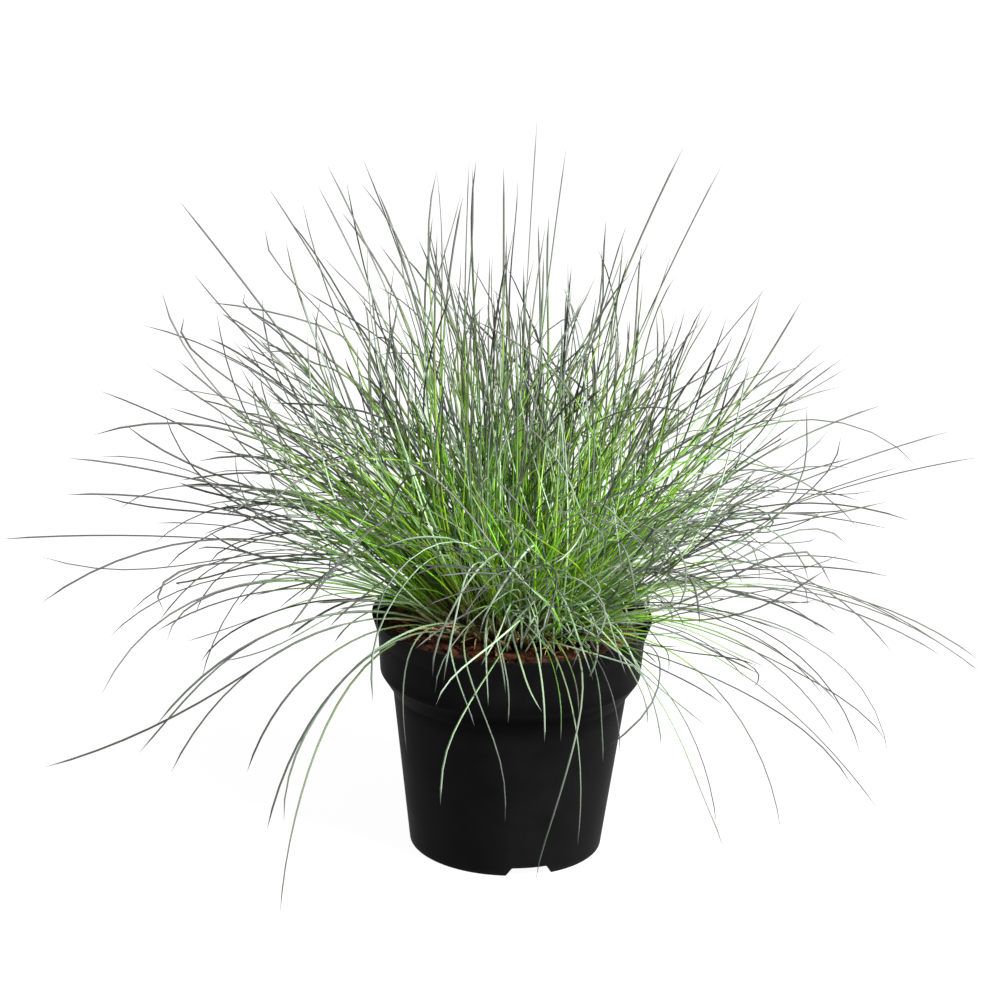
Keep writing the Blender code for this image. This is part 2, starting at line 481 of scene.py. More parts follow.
def height_band(tree, height, middle, reach):
    """1 at a height and 0 beyond reach of it."""
    away = maths(tree, "SUBTRACT", height, middle)
    away = maths(tree, "ABSOLUTE", away)
    away = maths(tree, "DIVIDE", away, reach)
    close = maths(tree, "SUBTRACT", 1.0, away)
    return maths(tree, "MAXIMUM", close, 0.0)


def make_pot_plastic():
    made, tree, shader = new_material("pot_plastic")
    shader.inputs["Specular IOR Level"].default_value = 0.012
    marks = use_group(tree, speckle, Cloud_Scale=38.0, Grain_Scale=1500.0, Contrast=1.6)
    base = ramp(tree, marks.outputs["Cloud"], ((0.15, PLASTIC_DARK), (0.85, PLASTIC_LIGHT)))
    height = object_axes(tree)[1]["Z"]
    rub = height_band(tree, height, POT_HEIGHT, LIP_RUB)
    for middle, reach in ((POT_HEIGHT - COLLAR_DROP, COLLAR_RUB), (0.0, FOOT_RUB)):
        rub = maths(tree, "MAXIMUM", rub, height_band(tree, height, middle, reach))
    rub = maths(tree, "MULTIPLY", rub, marks.outputs["Grain"])
    worn = blend(tree, rub, base, PLASTIC_RUBBED)
    # Painted shade: a band of darker colour over the step under the collar.
    step_middle = POT_HEIGHT - (COLLAR_DROP + STEP_DROP) / 2
    painted_shade_under_collar = height_band(tree, height, step_middle, PAINTED_SHADE_REACH)
    worn = blend(tree, painted_shade_under_collar, worn, PLASTIC_PAINTED_SHADE)
    rough = maths(tree, "MULTIPLY_ADD", marks.outputs["Cloud"], 0.16, 0.44)
    rough = maths(tree, "MULTIPLY_ADD", rub, -0.10, rough)
    finish_shader(tree, shader, worn, rough, marks.outputs["Height"], 0.35, 0.0002)
    return made


pot.data.materials.append(make_pot_plastic())
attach(pot, "root")
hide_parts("pot")
print("pot finished")

# %% [markdown]
# ## The potting mix
#
# The pot is filled to just under its lip with composted bark. From above it shows as dark, uneven crumbs
# with flat chips of bark and a few bits of straw. The bulk is a plug turned like the pot, with many close
# rings on top, and a displacement lifts those rings into lumps. The chips and crumbs are loose pieces lying
# on it.

# %% The plug of potting mix
SOIL_SHOULDER = 0.012
SOIL_FALL = 0.003
SOIL_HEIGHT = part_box("potting_mix")[1].z
SOIL_EDGE_HEIGHT = SOIL_HEIGHT - SOIL_FALL
SOIL_SIDES = 120
SOIL_RINGS = 34
SOIL_GAP = 0.0004
RIM_BAND = 0.004
RIM_SHARE = 0.25
LEVEL_SLACK = 0.0001


def wall_radius(height):
    """The pot's outer radius at a height."""
    stations = (
        (0.0, FOOT_RADIUS),
        (POT_HEIGHT - STEP_DROP, BODY_TOP_RADIUS),
        (POT_HEIGHT - COLLAR_DROP, COLLAR_FOOT_RADIUS),
        (POT_HEIGHT - LIP_DROP, COLLAR_TOP_RADIUS),
        (POT_HEIGHT, LIP_RADIUS),
    )
    heights = [station[0] for station in stations]
    radii = [station[1] for station in stations]
    return float(np.interp(height, heights, radii))


def soil_height(radius):
    """The mean height of the surface: level in the middle, and lower where it meets the wall."""
    edge = wall_radius(SOIL_EDGE_HEIGHT) - WALL
    share = min(1.0, max(0.0, (radius - edge) / SOIL_SHOULDER + 1.0))
    return SOIL_HEIGHT - SOIL_FALL * share


def soil_outline():
    low = FLOOR_LIFT + FLOOR_THICKNESS + SOIL_GAP
    inset = WALL + SOIL_GAP
    sides = [low, POT_HEIGHT - STEP_DROP, POT_HEIGHT - COLLAR_DROP, SOIL_EDGE_HEIGHT]
    outline = [(wall_radius(height) - inset, height) for height in sides]
    rim = outline[-1][0]
    rings = [rim * (1.0 - (index + 1) / (SOIL_RINGS + 1)) for index in range(SOIL_RINGS)]
    return outline + [(radius, soil_height(radius)) for radius in rings]


potting_mix = draw_ring("bark_compost", soil_outline(), SOIL_SIDES)
top = potting_mix.vertex_groups.new(name="top")
rim_radius = wall_radius(SOIL_EDGE_HEIGHT) - WALL - SOIL_GAP
for vertex in potting_mix.data.vertices:
    radius = math.hypot(vertex.co.x, vertex.co.y)
    if vertex.co.z >= SOIL_EDGE_HEIGHT - LEVEL_SLACK:
        inward = min(1.0, (rim_radius - radius) / RIM_BAND)
        top.add([vertex.index], RIM_SHARE + (1.0 - RIM_SHARE) * inward, "REPLACE")
report(potting_mix)

# %% Lift the surface into lumps
SURFACE_LAYERS = (("lumps", 0.013, 0.0050), ("crumbs", 0.0035, 0.0030))
for label, size, strength in SURFACE_LAYERS:
    texture = bpy.data.textures.new(label, "CLOUDS")
    texture.noise_scale = size
    texture.noise_depth = 3
    lift = potting_mix.modifiers.new(label, "DISPLACE")
    lift.texture = texture
    lift.texture_coords = "LOCAL"
    lift.direction = "Z"
    lift.strength = strength
    lift.mid_level = 0.5
    lift.vertex_group = "top"
apply_modifiers(potting_mix)
bpy.ops.object.shade_smooth()
report(potting_mix)

# %% [markdown]
# A bark chip splits along its grain into a flat, wedge-ended flake. A block is subdivided once, pinched at
# its ends and roughened, in three kinds. Crumbs are small knocked-about balls. Each is modelled once, and
# copies are turned, stretched and scattered by a seeded random generator, so every run gives the same bed.
# They are joined into one piece by stacking their corners into one array.

# %% Model the chips and crumbs
CHIP_KINDS = 3
CHIP_SIZE = (1.0, 0.5, 0.25)
CHIP_ENDS = 0.4
CHIP_ROUGHNESS = 0.09
FIRST_PINCH = 0.55
PINCH_STEP = 0.12
CHIP_SEED = 11
CRUMB_KINDS = 2
CRUMB_SIZE = (1.0, 0.8, 0.6)
CRUMB_ROUGHNESS = 0.12
CRUMB_SEED = 21


def model_chip(name, pinch, seed):
    """A flake one unit long, half as wide and a quarter as thick."""
    bpy.ops.mesh.primitive_cube_add(size=1.0)
    ob = named(name)
    start_edit()
    bpy.ops.mesh.subdivide(number_cuts=1)
    for side in (-1.0, 1.0):
        choose(ob, lambda vertex: vertex.co.x * side > CHIP_ENDS)
        bpy.ops.transform.resize(value=(1.0, pinch, pinch))
    start_edit()
    bpy.ops.transform.vertex_random(offset=CHIP_ROUGHNESS, seed=seed)
    end_edit()
    ob.scale = CHIP_SIZE
    place_into_mesh(ob)
    return ob


def model_crumb(name, seed):
    bpy.ops.mesh.primitive_ico_sphere_add(subdivisions=1, radius=0.5)
    ob = named(name)
    start_edit()
    bpy.ops.transform.vertex_random(offset=CRUMB_ROUGHNESS, seed=seed)
    end_edit()
    ob.scale = CRUMB_SIZE
    place_into_mesh(ob)
    return ob


def as_arrays(ob):
    """An object's corners and faces as plain arrays, and the object is removed."""
    corners = np.array([vertex.co[:] for vertex in ob.data.vertices])
    faces = [tuple(face.vertices) for face in ob.data.polygons]
    remove(ob)
    return corners, faces


chip_shapes = []
for index in range(CHIP_KINDS):
    chip = model_chip(f"chip_{index}", FIRST_PINCH + PINCH_STEP * index, CHIP_SEED + index)
    chip_shapes.append(as_arrays(chip))
crumb_shapes = [
    as_arrays(model_crumb(f"crumb_{index}", CRUMB_SEED + index))
    for index in range(CRUMB_KINDS)
]
for label, shapes in (("chip", chip_shapes), ("crumb", crumb_shapes)):
    print(f"faces in each {label}:", [len(faces) for _, faces in shapes])


# %% Join many copies into one mesh
def joined_mesh(name, parts):
    """One object from (corners, faces) pairs."""
    corners = []
    faces = []
    for part_corners, part_faces in parts:
        start = len(corners)
        corners.extend(part_corners.tolist())
        faces.extend([tuple(index + start for index in face) for face in part_faces])
    mesh = bpy.data.meshes.new(name)
    mesh.from_pydata(corners, [], faces)
    mesh.update()
    ob = bpy.data.objects.new(name, mesh)
    bpy.context.scene.collection.objects.link(ob)
    only(ob)
    start_edit()
    end_edit(turn_outwards=True)
    return ob


WIDTHS = (0.6, 1.2)
THICKNESSES = (0.7, 1.2)
BEDDING = (-0.0005, 0.0015)


def scatter(shapes, random, count, sizes, tilt, reach, slimness=1.0):
    """Copies of some shapes, lying at random on the potting mix within a reach of radii."""
    parts = []
    for index in range(count):
        corners, faces = shapes[index % len(shapes)]
        long = random.uniform(*sizes)
        wide = long * slimness * random.uniform(*WIDTHS)
        thick = long * slimness**0.5 * random.uniform(*THICKNESSES)
        stretch = np.array([long, wide, thick])
        turn = Euler((
            math.radians(random.normal(0.0, tilt)),
            math.radians(random.normal(0.0, tilt)),
            random.uniform(0.0, math.tau),
        ))
        radius = math.sqrt(random.uniform(reach[0] ** 2, reach[1] ** 2))
        angle = random.uniform(0.0, math.tau)
        lift = soil_height(radius) + random.uniform(*BEDDING)
        place = np.array([radius * math.cos(angle), radius * math.sin(angle), lift])
        parts.append(((corners * stretch) @ np.array(turn.to_matrix()).T + place, faces))
    return parts


CHIP_BED = {"count": 210, "sizes": (0.005, 0.013), "tilt": 14.0, "reach": (0.030, 0.0725)}
CRUMB_BED = {"count": 620, "sizes": (0.0015, 0.0042), "tilt": 40.0, "reach": (0.028, 0.0765)}
STRAW_BED = {"count": 44, "sizes": (0.006, 0.015), "tilt": 12.0, "reach": (0.034, 0.0740)}
STRAW_SLIMNESS = 0.22
bed_random = np.random.default_rng(41)
chip_parts = scatter(chip_shapes, bed_random, **CHIP_BED)
crumb_parts = scatter(crumb_shapes, bed_random, **CRUMB_BED)
straw_parts = scatter(chip_shapes, bed_random, **STRAW_BED, slimness=STRAW_SLIMNESS)
bark_chips = joined_mesh("bark_chips", chip_parts)
straw = joined_mesh("straw_bits", straw_parts)
report(straw)
crumbs = joined_mesh("compost_crumbs", crumb_parts)
report(bark_chips)
report(crumbs)

# %% [markdown]
# Composted bark is a dark red-brown, nearly black where it is wet, with fox-red faces where a chip has
# split. One function makes all four finishes, with other colours and scales each time: the mix is darkest,
# the crumbs are a little lighter, the chips are redder and show their fibres, and the straw is palest.

# %% Material: bark
def make_bark(name, dark, middle, light, cloud_scale, stretch):
    made, tree, shader = new_material(name)
    shader.inputs["Specular IOR Level"].default_value = 0.25
    marks = use_group(tree, speckle, Cloud_Scale=cloud_scale, Grain_Scale=1100.0, Contrast=2.6)
    tone = ramp(tree, marks.outputs["Cloud"], ((0.1, dark), (0.5, middle), (0.95, light)))
    turned = add_node(tree, "ShaderNodeMapping", Scale=(1.0, stretch, stretch))
    link(tree, object_axes(tree)[0], turned.inputs["Vector"])
    fibre = add_node(tree, "ShaderNodeTexNoise", Scale=260.0, Detail=4.0)
    link(tree, turned.outputs["Vector"], fibre.inputs["Vector"])
    shade = maths(tree, "MULTIPLY_ADD", fibre.outputs["Fac"], 1.1, -0.2)
    coloured = blend(tree, shade, dark, tone)
    rough = maths(tree, "MULTIPLY_ADD", marks.outputs["Grain"], 0.2, 0.72)
    relief = maths(tree, "ADD", fibre.outputs["Fac"], marks.outputs["Height"])
    finish_shader(tree, shader, coloured, rough, relief, 0.6, 0.0006)
    return made


MIX_COLOURS = ((0.022, 0.010, 0.007), (0.080, 0.028, 0.016), (0.18, 0.060, 0.026))
CRUMB_COLOURS = ((0.026, 0.011, 0.008), (0.12, 0.040, 0.020), (0.32, 0.095, 0.038))
CHIP_COLOURS = ((0.038, 0.015, 0.009), (0.19, 0.058, 0.026), (0.50, 0.15, 0.055))
STRAW_COLOURS = ((0.30, 0.10, 0.035), (0.62, 0.27, 0.10), (0.80, 0.50, 0.24))
finishes = (
    (potting_mix, make_bark("bark_compost", *MIX_COLOURS, 150.0, 1.0)),
    (crumbs, make_bark("compost_crumbs", *CRUMB_COLOURS, 190.0, 1.0)),
    (bark_chips, make_bark("bark_chips", *CHIP_COLOURS, 120.0, 5.0)),
    (straw, make_bark("straw_bits", *STRAW_COLOURS, 90.0, 4.0)),
)
for ob, finish in finishes:
    ob.data.materials.clear()
    ob.data.materials.append(finish)
    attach(ob, "root")
    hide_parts("potting_mix")
print("potting mix finished")

# %% [markdown]
# ## The leaves
#
# A fescue leaf is rolled like a needle: keeled below, nearly flat above, a millimetre or so wide, and drawn
# out to a fine point. One blade is modelled as a three-sided bar, extruded in sixteen lengths and narrowed
# as it goes. It is one unit long and two wide, and it is bent along a path when it is copied, so each ring
# of the blade takes one station of the path.

# %% Model one blade
BLADE_STEPS = 16
BLADE_FLATNESS = 0.5
PROFILE_AT = (0.0, 0.12, 0.5, 0.8, 0.94, 1.0)
PROFILE = (0.8, 1.0, 1.0, 1.0, 0.90, 0.4)


def blade_width(along):
    """The share of full width at a share of the length."""
    return float(np.interp(along, PROFILE_AT, PROFILE))


def model_blade():
    bpy.ops.mesh.primitive_circle_add(vertices=3, radius=1.0, fill_type="NGON")
    ob = named("blade")
    start_edit()
    foot_width = blade_width(0.0) / math.cos(math.radians(30.0))
    bpy.ops.transform.resize(value=(foot_width, BLADE_FLATNESS, 1.0))
    for step in range(1, BLADE_STEPS):
        narrow = blade_width(step / BLADE_STEPS) / blade_width((step - 1) / BLADE_STEPS)
        extrude_up(1.0 / BLADE_STEPS, narrow)
    extrude_up(1.0 / BLADE_STEPS, 1.0)
    bpy.ops.mesh.merge(type="CENTER")
    end_edit(turn_outwards=True)
    return ob


blade = model_blade()
report(blade)
blade_corners, blade_faces = as_arrays(blade)
blade_station = np.rint(blade_corners[:, 2] * BLADE_STEPS).astype(int)
print("faces in a blade:", len(blade_faces))

# %% [markdown]
# A leaf's path is set by a few plain numbers: where it is rooted, the heading it grows in, how far it leans
# from upright at its root and at its tip, and its length. Small extras make it a real leaf: a sideways
# swing, a slow wave, a kink where it was once bent, an upturn of its outer half, and a hook at the tip. The
# path is walked in sixteen steps, and every leaf of a group is walked at once, because each number is a
# column of an array.

# %% Sizes of the clump, read from the solids
crown_low, crown_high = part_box("crown")
SOIL_TOP = crown_low.z
CROWN_REACH = (crown_high.x - crown_low.x) / 2 + 0.001
LEAF_HALF_WIDTH = 0.00063
STATIONS = np.linspace(0.0, 1.0, BLADE_STEPS + 1)
HALFWAY = (STATIONS[1:] + STATIONS[:-1]) / 2
ALLOWANCE = 0.010
allowed = [side * 0.03 + ALLOWANCE for side in np.subtract(cad_box[1], cad_box[0])]
ROOM_MARGIN = 0.004
ROOM_LOW = np.array(cad_box[0]) - allowed + ROOM_MARGIN
ROOM_HIGH = np.array(cad_box[1]) + allowed - ROOM_MARGIN
ROOM_LOW[2] = ROOM_MARGIN
print("leaves stay within", np.round(ROOM_LOW, 3), np.round(ROOM_HIGH, 3))

# %% A group of leaves, and the path that each takes
LEAF_KEYS = (
    "x", "y", "z", "heading", "lean", "tip", "length", "bend", "fan", "spread",
    "swing", "wave", "phase", "kink", "kink_at", "upturn", "hook", "roll", "width", "tone",
)


def leaf_group(count, **columns):
    """Every key as a column of count numbers. What isn't given is 0."""
    group = {}
    for key in LEAF_KEYS:
        value = np.asarray(columns.get(key, 0.0), dtype=float)
        group[key] = np.broadcast_to(value, (count,)).reshape(count, 1).copy()
    return group


def pick(group, rows):
    return {key: column[rows] for key, column in group.items()}


def together(*groups):
    return {key: np.concatenate([group[key] for group in groups]) for key in LEAF_KEYS}


def smooth_step(value):
    value = np.clip(value, 0.0, 1.0)
    return value * value * (3.0 - 2.0 * value)


OPEN_BY = 0.55
WAVE_TURN = 5.0
KINK_REACH = 0.08
UPTURN_FROM = 0.45
UPTURN_REACH = 0.55
SWING_POWER = 1.3
HOOK_FROM = 0.7
HOOK_REACH = 0.3


def bearing(group, along):
    """Each leaf's angle from upright and its heading, in radians, at shares of its length."""
    opened = smooth_step(along / OPEN_BY)
    polar = group["lean"] + group["fan"] * opened
    polar = polar + (group["tip"] - group["lean"]) * along ** group["bend"]
    polar = polar + group["wave"] * along * np.sin(group["phase"] + WAVE_TURN * along)
    polar = polar + group["kink"] * smooth_step((along - group["kink_at"]) / KINK_REACH)
    polar = polar - group["upturn"] * np.clip((along - UPTURN_FROM) / UPTURN_REACH, 0.0, 1.0)
    heading = group["heading"] + group["spread"] * opened + group["swing"] * along**SWING_POWER
    heading = heading + group["hook"] * np.clip((along - HOOK_FROM) / HOOK_REACH, 0.0, 1.0) ** 2
    return np.radians(polar), np.radians(heading)


def direction(polar, heading):
    flat = np.sin(polar)
    return np.stack([flat * np.cos(heading), flat * np.sin(heading), np.cos(polar)], axis=-1)


def walk(group):
    """The centre line of every leaf, as leaves x stations x 3."""
    step = group["length"] / BLADE_STEPS
    steps = direction(*bearing(group, HALFWAY)) * step[:, :, None]
    root = np.concatenate([group["x"], group["y"], group["z"]], axis=1)[:, None, :]
    return np.concatenate([root, root + np.cumsum(steps, axis=1)], axis=1)


print("a leaf is", len(LEAF_KEYS), "numbers")

# %% [markdown]
# A real leaf rests on the lip or the compost and doesn't pass through them. So a group is walked, the
# leaves that touch the pot or the compost are raised a little, and it is walked again, up to fourteen
# times. Those that still touch are left out. A leaf that reaches past the clump's measured size is
# shortened.

# %% Keep the leaves clear of the pot and in the room they have
LIP_CLEARANCE = 0.0018
SOIL_CLEARANCE = 0.0015
INSIDE_LIP = 0.013
OUTSIDE_LIP = 0.003
ROOT_STATIONS = 2
MOST_RAISES = 14
RAISE = {"lean": -3.5, "tip": -6.0, "bend": 0.12}
MOST_TRIMS = 10
TRIMMED_SHARE = 0.96


def touching(paths):
    """Which leaves touch the lip, the wall or the compost."""
    radius = np.hypot(paths[:, :, 0], paths[:, :, 1])
    height = paths[:, :, 2]
    lip = (radius > LIP_RADIUS - INSIDE_LIP) & (radius < LIP_RADIUS + OUTSIDE_LIP)
    low_over_lip = lip & (height < POT_HEIGHT + LIP_CLEARANCE)
    in_soil = (radius <= LIP_RADIUS - INSIDE_LIP) & (height < SOIL_HEIGHT + SOIL_CLEARANCE)
    started = np.arange(paths.shape[1]) > ROOT_STATIONS
    return ((low_over_lip | in_soil) & started).any(axis=1)


def settled(group):
    """The same leaves, raised where they touch the pot and shortened where they reach too far."""
    group = {key: column.copy() for key, column in group.items()}
    for _ in range(MOST_RAISES):
        hit = touching(walk(group))
        if not hit.any():
            break
        for key, change in RAISE.items():
            group[key][hit] += change
    group = pick(group, ~touching(walk(group)))
    for _ in range(MOST_TRIMS):
        paths = walk(group)
        outside = ((paths < ROOM_LOW) | (paths > ROOM_HIGH)).any(axis=(1, 2))
        if not outside.any():
            break
        group["length"][outside] *= TRIMMED_SHARE
    return pick(group, ~outside)


print("clearance over the lip:", LIP_CLEARANCE * 1000, "mm")

# %% [markdown]
# Fescue grows as tillers. Each is a shoot of four to six leaves that stand together in one sheath for the
# first few centimetres and then part. Tillers near the middle of the crown stand up, and those at its edge
# lean out and arch. This is what gives the clump its bright green bundles low down and its single grey
# leaves outside. Each tiller is turned from the last by the golden angle, the way plants space their
# shoots, so the crown is filled evenly. A seeded generator then adds the disorder, and draws the leaves of
# each tiller. Leaves of one tiller share much of their tone, so the clump is coloured in bundles and not
# leaf by leaf.

# %% Grow the tillers
TILLER_COUNT = 330
LEAVES_PER_TILLER = 5.1
MOST_LEAN = 58.0
CENTRE_CROWDING = 0.56
LEAF_LENGTH = 0.18
TILLER_LENGTHS = 0.04
LEAF_LENGTHS = 0.04
LEAST_DROOP = 11.0
MOST_DROOP = 37.0
DROOPS = 30.0
SWINGS = 36.0
WAVES = 18.0
FANS = 16.0
SPREADS = 25.0
LEFTWARD_VIGOUR = 0.08
GOLDEN_ANGLE = 137.508
TONE_SPREAD = 0.22
LAST_TONE = 0.999
HEADING_DISORDER = 14.0
LEAN_DISORDER = 7.0
LEAF_TILTS = 2.2
LEAF_HEADINGS = 3.0
ROOT_DISORDER = 0.0015
LENGTH_LIMITS = (0.06, 0.265)
EDGE_SHORTENING = 0.10
ARCHED_FROM = 55.0
STEEPEST = 12.0
LEAST_LEVEL = 0.25
LEAST_SWING_LEVEL = 0.35
KINKED_SHARE = 0.10
UPTURNED_SHARE = 0.25
HOOKED_SHARE = 0.22
KINKS = 26.0
HOOKS = 60.0
SHEATH_ROOT_DEPTH = 0.003


def grow_tillers(count, random):
    order = np.arange(count) + 0.5
    heading = GOLDEN_ANGLE * order + random.normal(0.0, HEADING_DISORDER, count)
    out = (order / count) ** CENTRE_CROWDING
    lean = MOST_LEAN * out + random.normal(0.0, LEAN_DISORDER, count)
    place = np.radians(heading + random.normal(0.0, HEADING_DISORDER, count))
    x = CROWN_REACH * out * np.cos(place)
    y = CROWN_REACH * out * np.sin(place)
    vigour = random.normal(LEAF_LENGTH, TILLER_LENGTHS, count)
    own = np.repeat(np.arange(count), 1 + random.poisson(LEAVES_PER_TILLER - 1.0, count))
    total = len(own)
    tilt = lean[own] + random.normal(0.0, LEAF_TILTS, total)
    level = np.maximum(np.sin(np.radians(np.abs(tilt) + STEEPEST)), LEAST_LEVEL)
    droop = LEAST_DROOP + (MOST_DROOP - LEAST_DROOP) * out[own] ** 1.5
    droop = droop + random.normal(0.0, DROOPS, total)
    length = np.clip(vigour[own] + random.normal(0.0, LEAF_LENGTHS, total), *LENGTH_LIMITS)
    length *= 1.0 - EDGE_SHORTENING * out[own] ** 3
    leftward = -np.cos(np.radians(heading[own]))
    length *= 1.0 + LEFTWARD_VIGOUR * leftward * (tilt < ARCHED_FROM)
    tip = tilt + droop
    tip_level = np.maximum(np.abs(np.sin(np.radians(tip))), LEAST_SWING_LEVEL)
    swing = random.normal(0.0, SWINGS, total) / tip_level
    kinked = random.uniform(0.0, 1.0, total) < KINKED_SHARE
    upturned = random.uniform(0.0, 1.0, total) < UPTURNED_SHARE
    hooked = random.uniform(0.0, 1.0, total) < HOOKED_SHARE
    leaves = leaf_group(
        total,
        x=x[own] + random.normal(0.0, ROOT_DISORDER, total),
        y=y[own] + random.normal(0.0, ROOT_DISORDER, total),
        z=SOIL_TOP,
        heading=heading[own] + random.normal(0.0, LEAF_HEADINGS, total) / level,
        lean=tilt,
        tip=tip,
        length=length,
        bend=random.uniform(0.9, 2.0, total),
        fan=random.normal(0.0, FANS, total),
        spread=random.normal(0.0, SPREADS, total) / level,
        swing=swing,
        wave=random.normal(0.0, WAVES, total),
        phase=random.uniform(0.0, math.tau, total),
        kink=np.where(kinked, random.normal(0.0, KINKS, total), 0.0),
        kink_at=random.uniform(0.35, 0.85, total),
        upturn=np.where(upturned, random.uniform(10.0, 45.0, total), 0.0),
        hook=np.where(hooked, random.normal(0.0, HOOKS, total), 0.0),
        roll=random.uniform(-60.0, 60.0, total),
        width=random.uniform(0.78, 1.12, total),
        tone=random.uniform(0.0, 1.0, count)[own] + random.normal(0.0, TONE_SPREAD, total),
    )
    leaves["tone"] = np.clip(leaves["tone"], 0.0, LAST_TONE)
    tillers = leaf_group(
        count,
        x=x,
        y=y,
        z=SOIL_TOP - SHEATH_ROOT_DEPTH,
        heading=heading,
        lean=lean,
        tip=lean,
        length=random.uniform(0.020, 0.036, count),
        width=random.uniform(0.8, 1.15, count),
        roll=random.uniform(0.0, 360.0, count),
        tone=random.uniform(0.0, 1.0, count),
    )
    return leaves, tillers


leaf_random = np.random.default_rng(7)
main_leaves, tillers = grow_tillers(TILLER_COUNT, leaf_random)
print("tillers:", TILLER_COUNT, "leaves drawn:", len(main_leaves["x"]))

# %% [markdown]
# The clump isn't equally full all round. It is thinner low down at its sides and in front, and behind. So a
# leaf has a chance of being left out, which grows with its lean and depends on its heading.

# %% Thin the clump where it is open
SIDE_THINNING = 0.5
FRONT_THINNING = 0.95
BACK_THINNING = 0.52
OPEN_HEADING = -110.0
SIDE_FROM = 28.0
BACK_FROM = 12.0
THINNING_REACH = 18.0


def thinned(leaves, random):
    """The same leaves, with some left out at the sides, in front and behind."""
    side_share = np.cos(np.radians(leaves["heading"])) ** 2
    front_share = smooth_step(np.cos(np.radians(leaves["heading"] - OPEN_HEADING)))
    back_share = smooth_step(np.sin(np.radians(leaves["heading"])))
    low = smooth_step((leaves["lean"] - SIDE_FROM) / THINNING_REACH)
    low_behind = smooth_step((leaves["lean"] - BACK_FROM) / THINNING_REACH)
    chance = low * np.maximum(SIDE_THINNING * side_share, FRONT_THINNING * front_share)
    chance = np.maximum(chance, BACK_THINNING * back_share * low_behind)
    kept = random.uniform(0.0, 1.0, chance.shape) > chance
    return pick(leaves, kept[:, 0])


main_leaves = settled(thinned(main_leaves, leaf_random))
print("leaves left after thinning:", len(main_leaves["x"]))

# %% [markdown]
# At the front left, a part of the compost lies almost bare. Most of the leaves that pass low over it are
# left out, so the dark bark shows between the clump and the lip.

# %% Leave a part of the compost bare
BARE_MIDDLE = math.radians(-133.0)
BARE_HALF_ANGLE = math.radians(26.0)
BARE_BAND = (0.050, 0.100)
BARE_CLEARANCE = 0.045
BARE_SHARE = 0.8


def over_bare_compost(group):
    """Which leaves pass low over the bare quarter of the compost."""
    paths = walk(group)
    radius = np.hypot(paths[:, :, 0], paths[:, :, 1])
    in_band = (radius > BARE_BAND[0]) & (radius < BARE_BAND[1])
    low = paths[:, :, 2] < SOIL_TOP + BARE_CLEARANCE
    along_middle = paths[:, :, 0] * math.cos(BARE_MIDDLE) + paths[:, :, 1] * math.sin(BARE_MIDDLE)
    near = along_middle > radius * math.cos(BARE_HALF_ANGLE)
    return (in_band & low & near).any(axis=1)


missing = over_bare_compost(main_leaves)
missing &= leaf_random.uniform(0.0, 1.0, len(missing)) < BARE_SHARE
main_leaves = pick(main_leaves, ~missing)
print("tillers:", TILLER_COUNT, "leaves:", len(main_leaves["x"]))

# %% [markdown]
# Two kinds of leaf don't follow the tillers. Pale blue-green ones curl forward over the compost and the lip
# in loops. Others hang well down outside the pot. They are drawn as loose leaves with their own ranges. A
# row gives their count, the ranges of heading, lean, tip and length, how far they swing, and how far out
# they root.

# %% Grow the pale curls and the hanging leaves
LOOSE_PLACES = 25.0
LOOSE_WAVES = 14.0
LOOSE_HOOKS = 60.0


def grow_loose(random, count, headings, leans, tips, lengths, swing, reach):
    """Leaves rooted at random on the crown, with each number drawn from its own range."""
    heading = random.uniform(*headings, count)
    out = np.sqrt(random.uniform(0.05, 1.0, count)) * reach
    place = np.radians(heading + random.normal(0.0, LOOSE_PLACES, count))
    return leaf_group(
        count,
        x=CROWN_REACH * out * np.cos(place),
        y=CROWN_REACH * out * np.sin(place),
        z=SOIL_TOP,
        heading=heading,
        lean=random.uniform(*leans, count),
        tip=random.uniform(*tips, count),
        length=random.uniform(*lengths, count),
        bend=random.uniform(0.8, 1.5, count),
        swing=random.normal(0.0, swing, count),
        wave=random.normal(0.0, LOOSE_WAVES, count),
        phase=random.uniform(0.0, math.tau, count),
        hook=random.normal(0.0, LOOSE_HOOKS, count),
        roll=random.uniform(-60.0, 60.0, count),
        width=random.uniform(0.85, 1.2, count),
        tone=random.uniform(0.0, 1.0, count),
    )


CURLS = (
    (30, (-115.0, -10.0), (0.0, 26.0), (110.0, 190.0), (0.14, 0.24), 70.0, 1.0),
    (56, (-110.0, -20.0), (5.0, 35.0), (140.0, 240.0), (0.06, 0.12), 90.0, 0.7),
    (8, (-75.0, -25.0), (30.0, 60.0), (120.0, 170.0), (0.11, 0.20), 60.0, 1.0),
)
HANGING = (
    (7, (150.0, 205.0), (50.0, 66.0), (110.0, 150.0), (0.18, 0.28), 18.0, 1.0),
    (5, (-55.0, 30.0), (50.0, 66.0), (110.0, 150.0), (0.18, 0.28), 18.0, 1.0),
    (16, (30.0, 150.0), (50.0, 66.0), (110.0, 160.0), (0.15, 0.26), 18.0, 1.0),
)
loose_random = np.random.default_rng(19)
curls = settled(together(*[grow_loose(loose_random, *row) for row in CURLS]))
curls = pick(curls, ~over_bare_compost(curls))
hanging = settled(together(*[grow_loose(loose_random, *row) for row in HANGING]))
print("curls:", len(curls["x"]), "hanging:", len(hanging["x"]))

# %% [markdown]
# The outline of a clump is made by its few longest leaves, so these are placed one by one. Each row gives a
# heading, the lean at root and tip, the length in millimetres, an upturn and how late the leaf bends. Their
# roots lie on the crown where a tiller of that lean would stand.

